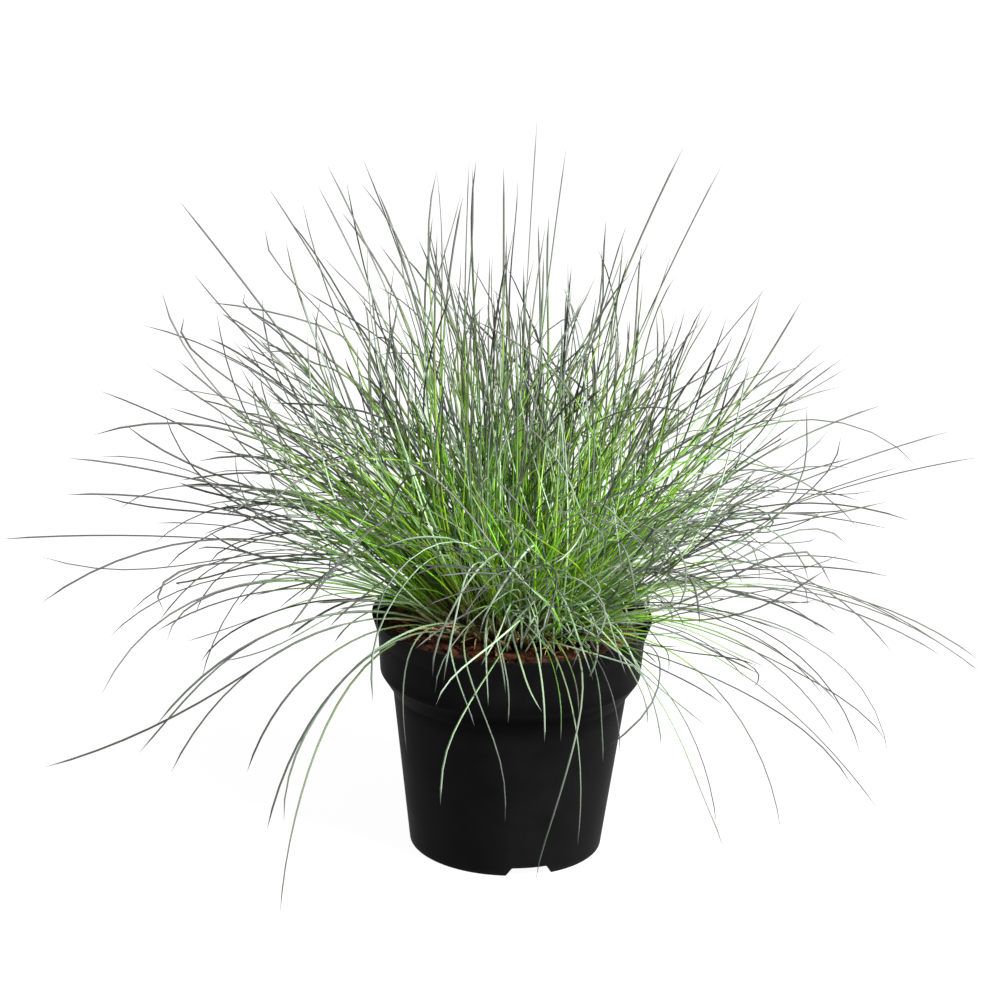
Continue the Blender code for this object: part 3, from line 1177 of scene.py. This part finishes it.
# %% Place the longest leaves
LONG_LEAVES = (
    (0, 0, 2, 311, 0, 1.0),
    (40, 3, 8, 292, 0, 1.0),
    (0, 8, 24, 310, 0, 1.0),
    (10, 15, 26, 303, 0, 1.0),
    (180, 11, 23, 297, 0, 1.0),
    (175, 14, 28, 298, 0, 1.0),
    (186, 16, 28, 292, 0, 1.0),
    (180, 20, 34, 298, 0, 1.0),
    (180, 31, 39, 312, 0, 1.0),
    (175, 46, 72, 258, 0, 1.0),
    (172, 44, 62, 242, 0, 1.0),
    (182, 50, 94, 250, 0, 1.0),
    (186, 48, 128, 284, 34, 1.0),
    (192, 46, 127, 273, 0, 1.1),
    (200, 57, 170, 262, 70, 0.7),
    (206, 56, 140, 206, 0, 0.9),
    (211, 57, 152, 216, 0, 0.9),
    (230, 56, 164, 212, 0, 0.9),
    (217, 56, 160, 180, 0, 0.9),
    (195, 55, 120, 186, 0, 1.0),
    (0, 23, 38, 250, 0, 1.0),
    (0, 40, 26, 248, 0, 1.0),
    (6, 37, 45, 236, 0, 1.0),
    (0, 36, 51, 240, 0, 1.0),
    (8, 38, 72, 240, 0, 1.0),
    (6, 44, 88, 264, 14, 1.0),
    (0, 48, 84, 270, 5, 1.0),
    (350, 36, 106, 242, 0, 1.2),
    (0, 50, 72, 222, 0, 1.0),
    (350, 52, 98, 200, 0, 1.0),
    (346, 48, 118, 222, 0, 1.0),
    (352, 56, 128, 258, 0, 1.0),
    (358, 56, 126, 258, 0, 0.9),
    (335, 56, 132, 184, 0, 1.0),
    (335, 56, 146, 192, 0, 1.0),
    (329, 57, 154, 232, 18, 0.8),
    (318, 57, 168, 216, 0, 1.0),
    (308, 57, 168, 194, 0, 1.0),
    (340, 30, 88, 184, 0, 1.0),
)


def rooted_by_lean(heading, lean, tip, length, **columns):
    """Leaves rooted where a tiller of their lean would stand. Lengths are in millimetres."""
    out = np.clip(lean / MOST_LEAN, 0.0, 1.0)
    return leaf_group(
        len(heading),
        x=CROWN_REACH * out * np.cos(np.radians(heading)),
        y=CROWN_REACH * out * np.sin(np.radians(heading)),
        z=SOIL_TOP,
        heading=heading,
        lean=lean,
        tip=tip,
        length=length / 1000.0,
        **columns,
    )


def place_long_leaves(rows, random):
    heading, lean, tip, length, upturn, bend = np.array(rows, dtype=float).T
    return rooted_by_lean(
        heading, lean, tip, length,
        bend=bend,
        upturn=upturn,
        roll=random.uniform(-40.0, 40.0, len(rows)),
        width=random.uniform(0.9, 1.1, len(rows)),
        tone=random.uniform(0.35, 0.92, len(rows)),
    )


long_leaves = settled(place_long_leaves(LONG_LEAVES, np.random.default_rng(3)))
print("longest leaves:", len(long_leaves["x"]))

# %% [markdown]
# In front, the leaves that fall over the lip or loop across the bright middle are each seen alone, so they
# are placed one by one too. A row gives the heading, lean, tip and length, then how late the leaf bends,
# how far it swings sideways, and its tone, from 0 for a green leaf to 0.9 for the palest blue one. First
# come those that hang over the lip, roughly from left to right, then the loops, and last the wide arches.

# %% Place the leaves in front
FRONT_LEAVES = (
    (-135, 50, 175, 130, 0.8, 70, 0.65),
    (-130, 40, 155, 210, 0.6, -20, 0.78),
    (-125, 45, 170, 115, 0.8, 90, 0.75),
    (-115, 40, 175, 195, 0.8, 95, 0.68),
    (-90, 50, 165, 170, 0.8, -55, 0.72),
    (-105, 40, 175, 95, 0.9, 30, 0.75),
    (-100, 40, 165, 105, 0.8, 45, 0.68),
    (-90, 50, 150, 95, 0.8, 25, 0.70),
    (-80, 45, 180, 115, 0.8, 0, 0.75),
    (-75, 50, 175, 110, 0.8, 0, 0.50),
    (-70, 45, 165, 95, 0.8, 10, 0.45),
    (-60, 45, 175, 215, 0.7, -90, 0.65),
    (-75, 40, 180, 190, 0.7, 10, 0.66),
    (-55, 45, 180, 130, 0.7, -40, 0.64),
    (-75, 55, 105, 105, 0.8, 70, 0.75),
    (-45, 35, 180, 145, 0.7, -10, 0.82),
    (-50, 45, 170, 205, 0.7, 0, 0.72),
    (-165, -5, 115, 155, 1.8, 0, 0.90),
    (175, 0, 110, 175, 1.8, 0, 0.85),
    (0, -15, 170, 140, 3.0, 0, 0.90),
    (-10, -5, 175, 200, 1.6, 0, 0.85),
    (10, 0, 130, 160, 3.5, 0, 0.15),
    (-5, 15, 150, 265, 1.5, 0, 0.40),
    (-5, 25, 130, 290, 1.5, 0, 0.30),
    (205, 55, 135, 225, 0.7, 0, 0.68),
    (215, 54, 180, 268, 0.6, 44, 0.66),
)


def place_front_leaves(rows, random):
    heading, lean, tip, length, bend, swing, tone = np.array(rows, dtype=float).T
    return rooted_by_lean(
        heading, lean, tip, length,
        bend=bend,
        swing=swing,
        roll=random.uniform(-40.0, 40.0, len(rows)),
        width=random.uniform(0.8, 1.1, len(rows)),
        wave=random.normal(0.0, 12.0, len(rows)),
        phase=random.uniform(0.0, math.tau, len(rows)),
        hook=random.normal(0.0, 40.0, len(rows)),
        tone=tone,
    )


front_leaves = settled(place_front_leaves(FRONT_LEAVES, np.random.default_rng(5)))
print("leaves placed in front:", len(front_leaves["x"]))

# %% [markdown]
# Copying the blade along a path needs a frame at each station: the direction of growth, a level side vector
# at right angles to it, and the keel's direction. The side vector always lies flat and square to the
# heading, so the blade never flips, and each leaf adds its own slow twist. The corners of all the leaves
# come out as one array, and the faces are the blade's faces counted on from leaf to leaf.
#
# Each leaf also gets a map for its colours. Across the map are ninety-six columns, one for each tone of
# leaf. Up the map goes the way from root to tip. Two leaves of one tone share a column, so a thousand
# leaves are painted from ninety-six columns.

# %% Copy the blade along the paths
TONE_COLUMNS = 96
TWIST = 50.0
MAP_NAME = "OFBake"
MAP_HALF_COLUMN = 0.42
MAP_FOOT = 0.02
MAP_RISE = 0.94
LONG_LEAF = 0.30
SHORT_LEAF_SHARE = 0.45


def blade_mesh_arrays(group):
    """Corners and faces of the group's leaves, with each corner's place on the colour map."""
    paths = walk(group)
    polar, heading = bearing(group, STATIONS)
    grow = direction(polar, heading)
    side = np.stack([-np.sin(heading), np.cos(heading), np.zeros_like(heading)], axis=-1)
    keel = np.cross(side, grow)
    twist = np.radians(group["roll"] + TWIST * STATIONS)[:, :, None]
    turned_side = side * np.cos(twist) + keel * np.sin(twist)
    turned_keel = keel * np.cos(twist) - side * np.sin(twist)
    half = (LEAF_HALF_WIDTH * group["width"])[:, :, None]
    across = blade_corners[None, :, 0:1] * half
    deep = blade_corners[None, :, 1:2] * half
    at = blade_station
    corners = paths[:, at] + turned_side[:, at] * across + turned_keel[:, at] * deep
    count = len(paths)
    offsets = np.arange(count) * len(blade_corners)
    faces = [
        tuple(int(index + offset) for index in face)
        for offset in offsets
        for face in blade_faces
    ]
    column = np.floor(group["tone"] * TONE_COLUMNS).clip(0, TONE_COLUMNS - 1)
    half_across = 0.5 + MAP_HALF_COLUMN * np.clip(blade_corners[:, 0], -1.0, 1.0)
    u = (column + half_across[None, :]) / TONE_COLUMNS
    grown = np.minimum(group["length"] / LONG_LEAF, 1.0)
    aged = SHORT_LEAF_SHARE + (1.0 - SHORT_LEAF_SHARE) * grown
    v = MAP_FOOT + MAP_RISE * STATIONS[at][None, :] * aged
    return corners.reshape(-1, 3), faces, np.stack([u, v], axis=-1).reshape(-1, 2)


def leaf_piece(name, group):
    corners, faces, colour_places = blade_mesh_arrays(group)
    mesh = bpy.data.meshes.new(name)
    mesh.from_pydata(corners.tolist(), [], faces)
    mesh.update()
    layer = mesh.uv_layers.new(name=MAP_NAME)
    order = np.empty(len(mesh.loops), dtype=np.int32)
    mesh.loops.foreach_get("vertex_index", order)
    layer.data.foreach_set("uv", colour_places[order].astype(np.float32).ravel())
    mesh.polygons.foreach_set("use_smooth", np.ones(len(mesh.polygons), dtype=bool))
    ob = bpy.data.objects.new(name, mesh)
    bpy.context.scene.collection.objects.link(ob)
    return ob


print("map columns:", TONE_COLUMNS)

# %% [markdown]
# A blue fescue leaf is pale straw where it leaves its sheath, bright yellow-green for the next few
# centimetres, then blue-green under a waxy bloom, and a dark grey-green in its thin outer half. Some leaves
# are pale glaucous all along, and a few are dry. The group below paints all three families by column of the
# map. It shifts each column's stages a little, and draws the fine ribs that run along the blade.

# %% Group: leaf colours
GREEN_STAGES = (
    (0.00, (0.45, 0.42, 0.15)),
    (0.06, (0.38, 0.50, 0.045)),
    (0.20, (0.27, 0.58, 0.014)),
    (0.40, (0.22, 0.48, 0.035)),
    (0.56, (0.165, 0.28, 0.070)),
    (0.72, (0.098, 0.112, 0.085)),
    (0.95, (0.098, 0.100, 0.094)),
)
GLAUCOUS_STAGES = (
    (0.00, (0.45, 0.44, 0.24)),
    (0.12, (0.33, 0.52, 0.17)),
    (0.42, (0.40, 0.57, 0.33)),
    (0.62, (0.30, 0.38, 0.28)),
    (0.82, (0.15, 0.18, 0.145)),
    (1.00, (0.11, 0.12, 0.105)),
)
DRY_STAGES = (
    (0.00, (0.36, 0.17, 0.06)),
    (0.50, (0.55, 0.36, 0.15)),
    (1.00, (0.60, 0.47, 0.27)),
)
GLAUCOUS_FROM = 60 / TONE_COLUMNS
DRY_FROM = 90 / TONE_COLUMNS
LEAST_LIGHTNESS = 0.30
LIGHTNESS_RANGE = 1.05


def make_leaf_group():
    inputs = (("Brightness", "NodeSocketFloat", 1.0), ("Greying", "NodeSocketFloat", 1.0))
    outputs = [("Colour", "NodeSocketColor"), ("Bloom", "NodeSocketFloat"), ("Ribs", "NodeSocketFloat")]
    tree, start, end = new_group("leaf_colours", inputs, outputs)
    place = add_node(tree, "ShaderNodeUVMap", {"uv_map": MAP_NAME}).outputs["UV"]
    split = tree.nodes.new("ShaderNodeSeparateXYZ")
    link(tree, place, split.inputs[0])
    columns = maths(tree, "MULTIPLY", split.outputs["X"], float(TONE_COLUMNS))
    column = maths(tree, "FLOOR", columns)
    across = maths(tree, "FRACT", columns)
    chance = add_node(tree, "ShaderNodeTexWhiteNoise", {"noise_dimensions": "1D"})
    link(tree, column, chance.inputs["W"])
    random = tree.nodes.new("ShaderNodeSeparateColor")
    link(tree, chance.outputs["Color"], random.inputs[0])
    shift = maths(tree, "MULTIPLY_ADD", random.outputs["Red"], 0.30, -0.15)
    stage = maths(tree, "MULTIPLY_ADD", split.outputs["Y"], start.outputs["Greying"], shift)
    along = maths(tree, "MULTIPLY", split.outputs["Y"], 9.0)
    mottle = add_node(tree, "ShaderNodeTexNoise", {"noise_dimensions": "2D"}, Scale=1.0, Detail=3.0)
    spot = tree.nodes.new("ShaderNodeCombineXYZ")
    link(tree, maths(tree, "MULTIPLY", column, 3.7), spot.inputs["X"])
    link(tree, along, spot.inputs["Y"])
    link(tree, spot.outputs[0], mottle.inputs["Vector"])
    stage = maths(tree, "MULTIPLY_ADD", mottle.outputs["Fac"], 0.14, maths(tree, "SUBTRACT", stage, 0.07))
    green = ramp(tree, stage, GREEN_STAGES)
    glaucous = ramp(tree, stage, GLAUCOUS_STAGES)
    dry = ramp(tree, stage, DRY_STAGES)
    is_glaucous = maths(tree, "GREATER_THAN", split.outputs["X"], GLAUCOUS_FROM)
    is_dry = maths(tree, "GREATER_THAN", split.outputs["X"], DRY_FROM)
    tone = blend(tree, is_dry, blend(tree, is_glaucous, green, glaucous), dry)
    family_start = maths(tree, "MULTIPLY", is_glaucous, GLAUCOUS_FROM)
    family_width = maths(tree, "MULTIPLY_ADD", is_glaucous, DRY_FROM - 2.0 * GLAUCOUS_FROM, GLAUCOUS_FROM)
    share = maths(tree, "DIVIDE", maths(tree, "SUBTRACT", split.outputs["X"], family_start), family_width)
    lightness = maths(tree, "MULTIPLY_ADD", share, LIGHTNESS_RANGE, LEAST_LIGHTNESS)
    lightness = maths(tree, "MULTIPLY_ADD", random.outputs["Green"], 0.25, lightness)
    ribs = maths(tree, "SINE", maths(tree, "MULTIPLY", across, math.tau * 3.0))
    lightness = maths(tree, "MULTIPLY_ADD", ribs, 0.10, lightness)
    lightness = maths(tree, "MULTIPLY", lightness, start.outputs["Brightness"])
    hue = add_node(tree, "ShaderNodeHueSaturation")
    link(tree, maths(tree, "MULTIPLY_ADD", random.outputs["Blue"], 0.05, 0.475), hue.inputs["Hue"])
    link(tree, lightness, hue.inputs["Value"])
    link(tree, tone, hue.inputs["Color"])
    link(tree, hue.outputs[0], end.inputs["Colour"])
    link(tree, mottle.outputs["Fac"], end.inputs["Bloom"])
    link(tree, ribs, end.inputs["Ribs"])
    return tree


leaf_colours = make_leaf_group()
print("group made:", leaf_colours.name)

# %% [markdown]
# The inner leaves, the outer leaves and the curls share that group. Each of the three materials gives it its
# own brightness, and says how soon a leaf turns grey. The waxy bloom makes a leaf rougher in patches, and the
# ribs become a very shallow bump.

# %% Material: fescue leaf
def make_leaf_material(name, brightness, greying, roughness):
    made, tree, shader = new_material(name)
    shader.inputs["Specular IOR Level"].default_value = 0.22
    paint = use_group(tree, leaf_colours, Brightness=brightness, Greying=greying)
    rough = maths(tree, "MULTIPLY_ADD", paint.outputs["Bloom"], 0.3, roughness - 0.15)
    finish_shader(tree, shader, paint.outputs["Colour"], rough, paint.outputs["Ribs"], 0.4, 0.0001)
    return made


inner_leaf = make_leaf_material("fescue_leaf_inner", 1.1, 1.1, 0.5)
outer_leaf = make_leaf_material("fescue_leaf_outer", 1.0, 1.6, 0.55)
curl_leaf = make_leaf_material("fescue_leaf_curling", 1.1, 1.1, 0.55)
print("leaf materials ready")

# %% [markdown]
# Tones are handed out before the leaves become meshes. Most tiller leaves take a green column, and some a
# glaucous one, more often in front and among the leaves that arch out. The curls are all glaucous, except a
# few of those placed one by one. Short dry leaves lie round the foot of the clump.

# %% Hand out the tones
def tone_between(group, low, high):
    group["tone"] = low + (high - low) * group["tone"]


HEADING_WEIGHT = 0.1
FRONT_BEYOND = -0.03
GLAUCOUS_IN_FRONT = 0.34
GLAUCOUS_BEHIND = 0.08
ARCHING_LEAN = 46.0
GLAUCOUS_ARCHING = 0.55
LAST_GREEN = 0.99
COLUMN_MARGIN = 0.01
HANGING_TONES = (0.25, 0.85)
DRY_LEAVES = (46, (0.0, 360.0), (60.0, 84.0), (75.0, 105.0), (0.02, 0.05), 40.0, 1.0)
tone_random = np.random.default_rng(29)
main_count = len(main_leaves["x"])
front = main_leaves["y"] + HEADING_WEIGHT * np.sin(np.radians(main_leaves["heading"]))
glaucous_chance = np.where(front < FRONT_BEYOND, GLAUCOUS_IN_FRONT, GLAUCOUS_BEHIND)
glaucous_chance = np.where(main_leaves["lean"] > ARCHING_LEAN, GLAUCOUS_ARCHING, glaucous_chance)
glaucous = tone_random.uniform(0.0, 1.0, (main_count, 1)) < glaucous_chance
main_leaves["tone"] = np.where(
    glaucous,
    GLAUCOUS_FROM + (DRY_FROM - GLAUCOUS_FROM) * main_leaves["tone"],
    GLAUCOUS_FROM * main_leaves["tone"] * LAST_GREEN,
)
tone_between(curls, GLAUCOUS_FROM + COLUMN_MARGIN, DRY_FROM - COLUMN_MARGIN)
curls = together(curls, front_leaves)
tone_between(hanging, *HANGING_TONES)
dry_leaves = grow_loose(tone_random, *DRY_LEAVES)
tone_between(dry_leaves, DRY_FROM + COLUMN_MARGIN, LAST_TONE)
dry_leaves = settled(dry_leaves)
print("glaucous:", int(glaucous.sum()), "of", main_count, "dry:", len(dry_leaves["x"]))

# %% [markdown]
# The forty tufts of solids stand for the leaves in four rings: upright, leaning, spreading and drooping.
# Each leaf joins the ring of the tuft whose middle is nearest to its own middle. So each ring of leaves
# lies round its own tufts, and stands for them.

# %% Sort the leaves into the four rings
RINGS = {
    "leaves_upright": ("tuft_centre", "tuft_upright"),
    "leaves_leaning": ("tuft_leaning",),
    "leaves_spreading": ("tuft_spreading",),
    "leaves_drooping": ("tuft_drooping",),
}
tufts = [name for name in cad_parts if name.startswith("tuft_")]


def node_middle(name):
    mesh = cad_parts[name].data
    places = np.empty(len(mesh.vertices) * 3, dtype=np.float32)
    mesh.vertices.foreach_get("co", places)
    return places.reshape(-1, 3).mean(axis=0)


def ring_of(name):
    for ring, starts in RINGS.items():
        if name.startswith(starts):
            return ring
    return None


tuft_middles = np.array([node_middle(name) for name in tufts])
tuft_rings = np.array([list(RINGS).index(ring_of(name)) for name in tufts])
all_leaves = together(main_leaves, hanging, long_leaves)
middles = walk(all_leaves).mean(axis=1)
distance = np.linalg.norm(middles[:, None, :] - tuft_middles[None, :, :], axis=2)
leaf_rings = tuft_rings[distance.argmin(axis=1)]
for index, ring in enumerate(RINGS):
    piece = leaf_piece(ring, pick(all_leaves, leaf_rings == index))
    inner = index < 2
    piece.data.materials.append(inner_leaf if inner else outer_leaf)
    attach(piece, "root")
    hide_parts(*[name for name in tufts if ring_of(name) == ring])
    report(piece)

# %% Add the curls and the dry leaves
for label, group in (("leaves_curling", curls), ("leaves_dry", dry_leaves)):
    piece = leaf_piece(label, group)
    piece.data.materials.append(curl_leaf)
    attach(piece, "root")
    report(piece)

# %% [markdown]
# ## The crown
#
# Where the tillers meet the compost, their old sheaths pack into a straw-coloured mound. A sheath is a
# short tapering tube round the foot of a tiller. One is modelled with six sides, and copied to each tiller
# along its lean. A lumpy dome fills the space between them, so that no light comes through.

# %% Model one sheath and copy it
SHEATH_NARROWING = (0.96, 0.88, 0.78, 0.5)
SHEATH_HALF_WIDTH = 0.0019


def model_sheath():
    bpy.ops.mesh.primitive_circle_add(vertices=6, radius=1.0, fill_type="NGON")
    ob = named("sheath")
    start_edit()
    for narrow in SHEATH_NARROWING:
        extrude_up(1.0 / len(SHEATH_NARROWING), narrow)
    end_edit(turn_outwards=True)
    return ob


sheath_corners, sheath_faces = as_arrays(model_sheath())
sheath_parts = []
for row in range(TILLER_COUNT):
    polar = math.radians(float(tillers["lean"][row, 0]))
    heading = math.radians(float(tillers["heading"][row, 0]))
    turn = Euler((0.0, polar, heading)).to_matrix()
    width = SHEATH_HALF_WIDTH * float(tillers["width"][row, 0])
    size = np.array([width, width, float(tillers["length"][row, 0])])
    root = np.array([float(tillers[key][row, 0]) for key in ("x", "y", "z")])
    sheath_parts.append(((sheath_corners * size) @ np.array(turn).T + root, sheath_faces))
sheaths = joined_mesh("crown_sheaths", sheath_parts)
only(sheaths)
bpy.ops.object.shade_smooth()
report(sheaths)

# %% Model the dome
DOME_REACH = CROWN_REACH * 0.86
DOME_RISE = 0.014
DOME_SINK = 0.001
DOME_FLOOR = (0.0, 0.0, SOIL_TOP - SHEATH_ROOT_DEPTH)
DOME_LUMPS = 0.004
bpy.ops.mesh.primitive_uv_sphere_add(segments=48, ring_count=24, radius=1.0)
dome = named("crown_dome")
dome.scale = (DOME_REACH, DOME_REACH, DOME_RISE)
dome.location = (0.0, 0.0, SOIL_TOP - DOME_SINK)
place_into_mesh(dome)
start_edit()
upwards = (0.0, 0.0, 1.0)
bpy.ops.mesh.bisect(plane_co=DOME_FLOOR, plane_no=upwards, clear_inner=True, use_fill=True)
end_edit()
lumps = bpy.data.textures.new("dome_lumps", "CLOUDS")
lumps.noise_scale = DOME_LUMPS
rough = dome.modifiers.new("lumps", "DISPLACE")
rough.texture = lumps
rough.texture_coords = "LOCAL"
rough.strength = DOME_LUMPS
apply_modifiers(dome)
bpy.ops.object.shade_smooth()
report(dome)

# %% [markdown]
# A sheath is brown and damp at its foot, the colour of straw at its shoulder, and green where the leaves
# part. So its colour is a ramp on the height above the compost. The speckle's grain shifts the ramp a little,
# so that no two sheaths change at the same line, and its cloud adds dark streaks. The dome is finished the
# same way in darker colours, which paint the shade that falls on the old sheaths deep in the crown.

# %% Material: sheath
SHEATH_RISE = 0.034
SHEATH_STREAK = (0.06, 0.035, 0.018)


def make_sheath_material(name, foot, shoulder, top):
    """Stages of colour by height above the compost, with streaks."""
    made, tree, shader = new_material(name)
    shader.inputs["Specular IOR Level"].default_value = 0.3
    marks = use_group(tree, speckle, Cloud_Scale=210.0, Grain_Scale=900.0, Contrast=2.2)
    rise = maths(tree, "SUBTRACT", object_axes(tree)[1]["Z"], SOIL_TOP)
    rise = maths(tree, "DIVIDE", rise, SHEATH_RISE)
    rise = maths(tree, "SUBTRACT", rise, 0.15)
    rise = maths(tree, "MULTIPLY_ADD", marks.outputs["Grain"], 0.3, rise)
    stages = ramp(tree, rise, ((0.0, foot), (0.35, shoulder), (1.0, top)))
    shade = maths(tree, "MULTIPLY_ADD", marks.outputs["Cloud"], 0.9, 0.1)
    coloured = blend(tree, shade, SHEATH_STREAK, stages)
    rough = maths(tree, "MULTIPLY_ADD", marks.outputs["Grain"], 0.2, 0.6)
    finish_shader(tree, shader, coloured, rough, marks.outputs["Height"], 0.5, 0.0004)
    return made


sheath_stages = ((0.16, 0.10, 0.045), (0.34, 0.31, 0.13), (0.24, 0.40, 0.08))
# The dome's colours are the sheath's made darker: painted shade for the inside of the crown.
dome_painted_shade_stages = ((0.05, 0.03, 0.016), (0.10, 0.085, 0.03), (0.09, 0.14, 0.03))
crown_finishes = (
    (sheaths, make_sheath_material("sheath", *sheath_stages)),
    (dome, make_sheath_material("old_sheaths_painted_shade", *dome_painted_shade_stages)),
)
for ob, finish in crown_finishes:
    ob.data.materials.clear()
    ob.data.materials.append(finish)
    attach(ob, "root")
    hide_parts("crown")
print("crown finished")

# %% [markdown]
# ## Floor and light
#
# The pot stands on a plain white floor that runs past the edge of the view. A faint glow in the floor keeps
# its shadow soft and pale, as under a light tent. The light is an even white sky with one large soft lamp
# high in front and to the right, which gives the leaves and the pot's right side a little form.

# %% Floor, sky and lamp
WHITE = (1.0, 1.0, 1.0, 1.0)
FLOOR_SIZE = 24.0
FLOOR_PLACE = (0.0, 4.0, -0.0003)
FLOOR_GREY = (0.12, 0.12, 0.12, 1.0)
FLOOR_GLOW = 0.96
SKY_GLOW = 0.30
LAMP_PLACE = (1.5, -1.2, 2.0)
LAMP_TARGET = (0.0, 0.0, 0.2)
LAMP_SIZE = 0.7
LAMP_POWER = 180.0
bpy.ops.mesh.primitive_plane_add(size=FLOOR_SIZE, location=FLOOR_PLACE)
floor = named("floor")
place_into_mesh(floor)
floor_finish, _, floor_shader = new_material("floor_white", 0.9)
floor_shader.inputs["Base Color"].default_value = FLOOR_GREY
floor_shader.inputs["Specular IOR Level"].default_value = 0.0
floor_shader.inputs["Emission Color"].default_value = WHITE
floor_shader.inputs["Emission Strength"].default_value = FLOOR_GLOW
floor.data.materials.append(floor_finish)

world = bpy.data.worlds.new("white_tent")
world.use_nodes = True
sky = world.node_tree.nodes["Background"]
sky.inputs["Color"].default_value = WHITE
sky.inputs["Strength"].default_value = SKY_GLOW
bpy.context.scene.world = world


def add_lamp(name, place, target, size, power):
    data = bpy.data.lights.new(name, "AREA")
    data.shape = "DISK"
    data.size = size
    data.energy = power
    ob = bpy.data.objects.new(name, data)
    bpy.context.scene.collection.objects.link(ob)
    ob.location = place
    ob.rotation_euler = (Vector(target) - Vector(place)).to_track_quat("-Z", "Y").to_euler()
    return ob


add_lamp("key", LAMP_PLACE, LAMP_TARGET, LAMP_SIZE, LAMP_POWER)
bpy.context.scene.view_settings.view_transform = "Standard"
print("floor and light ready")
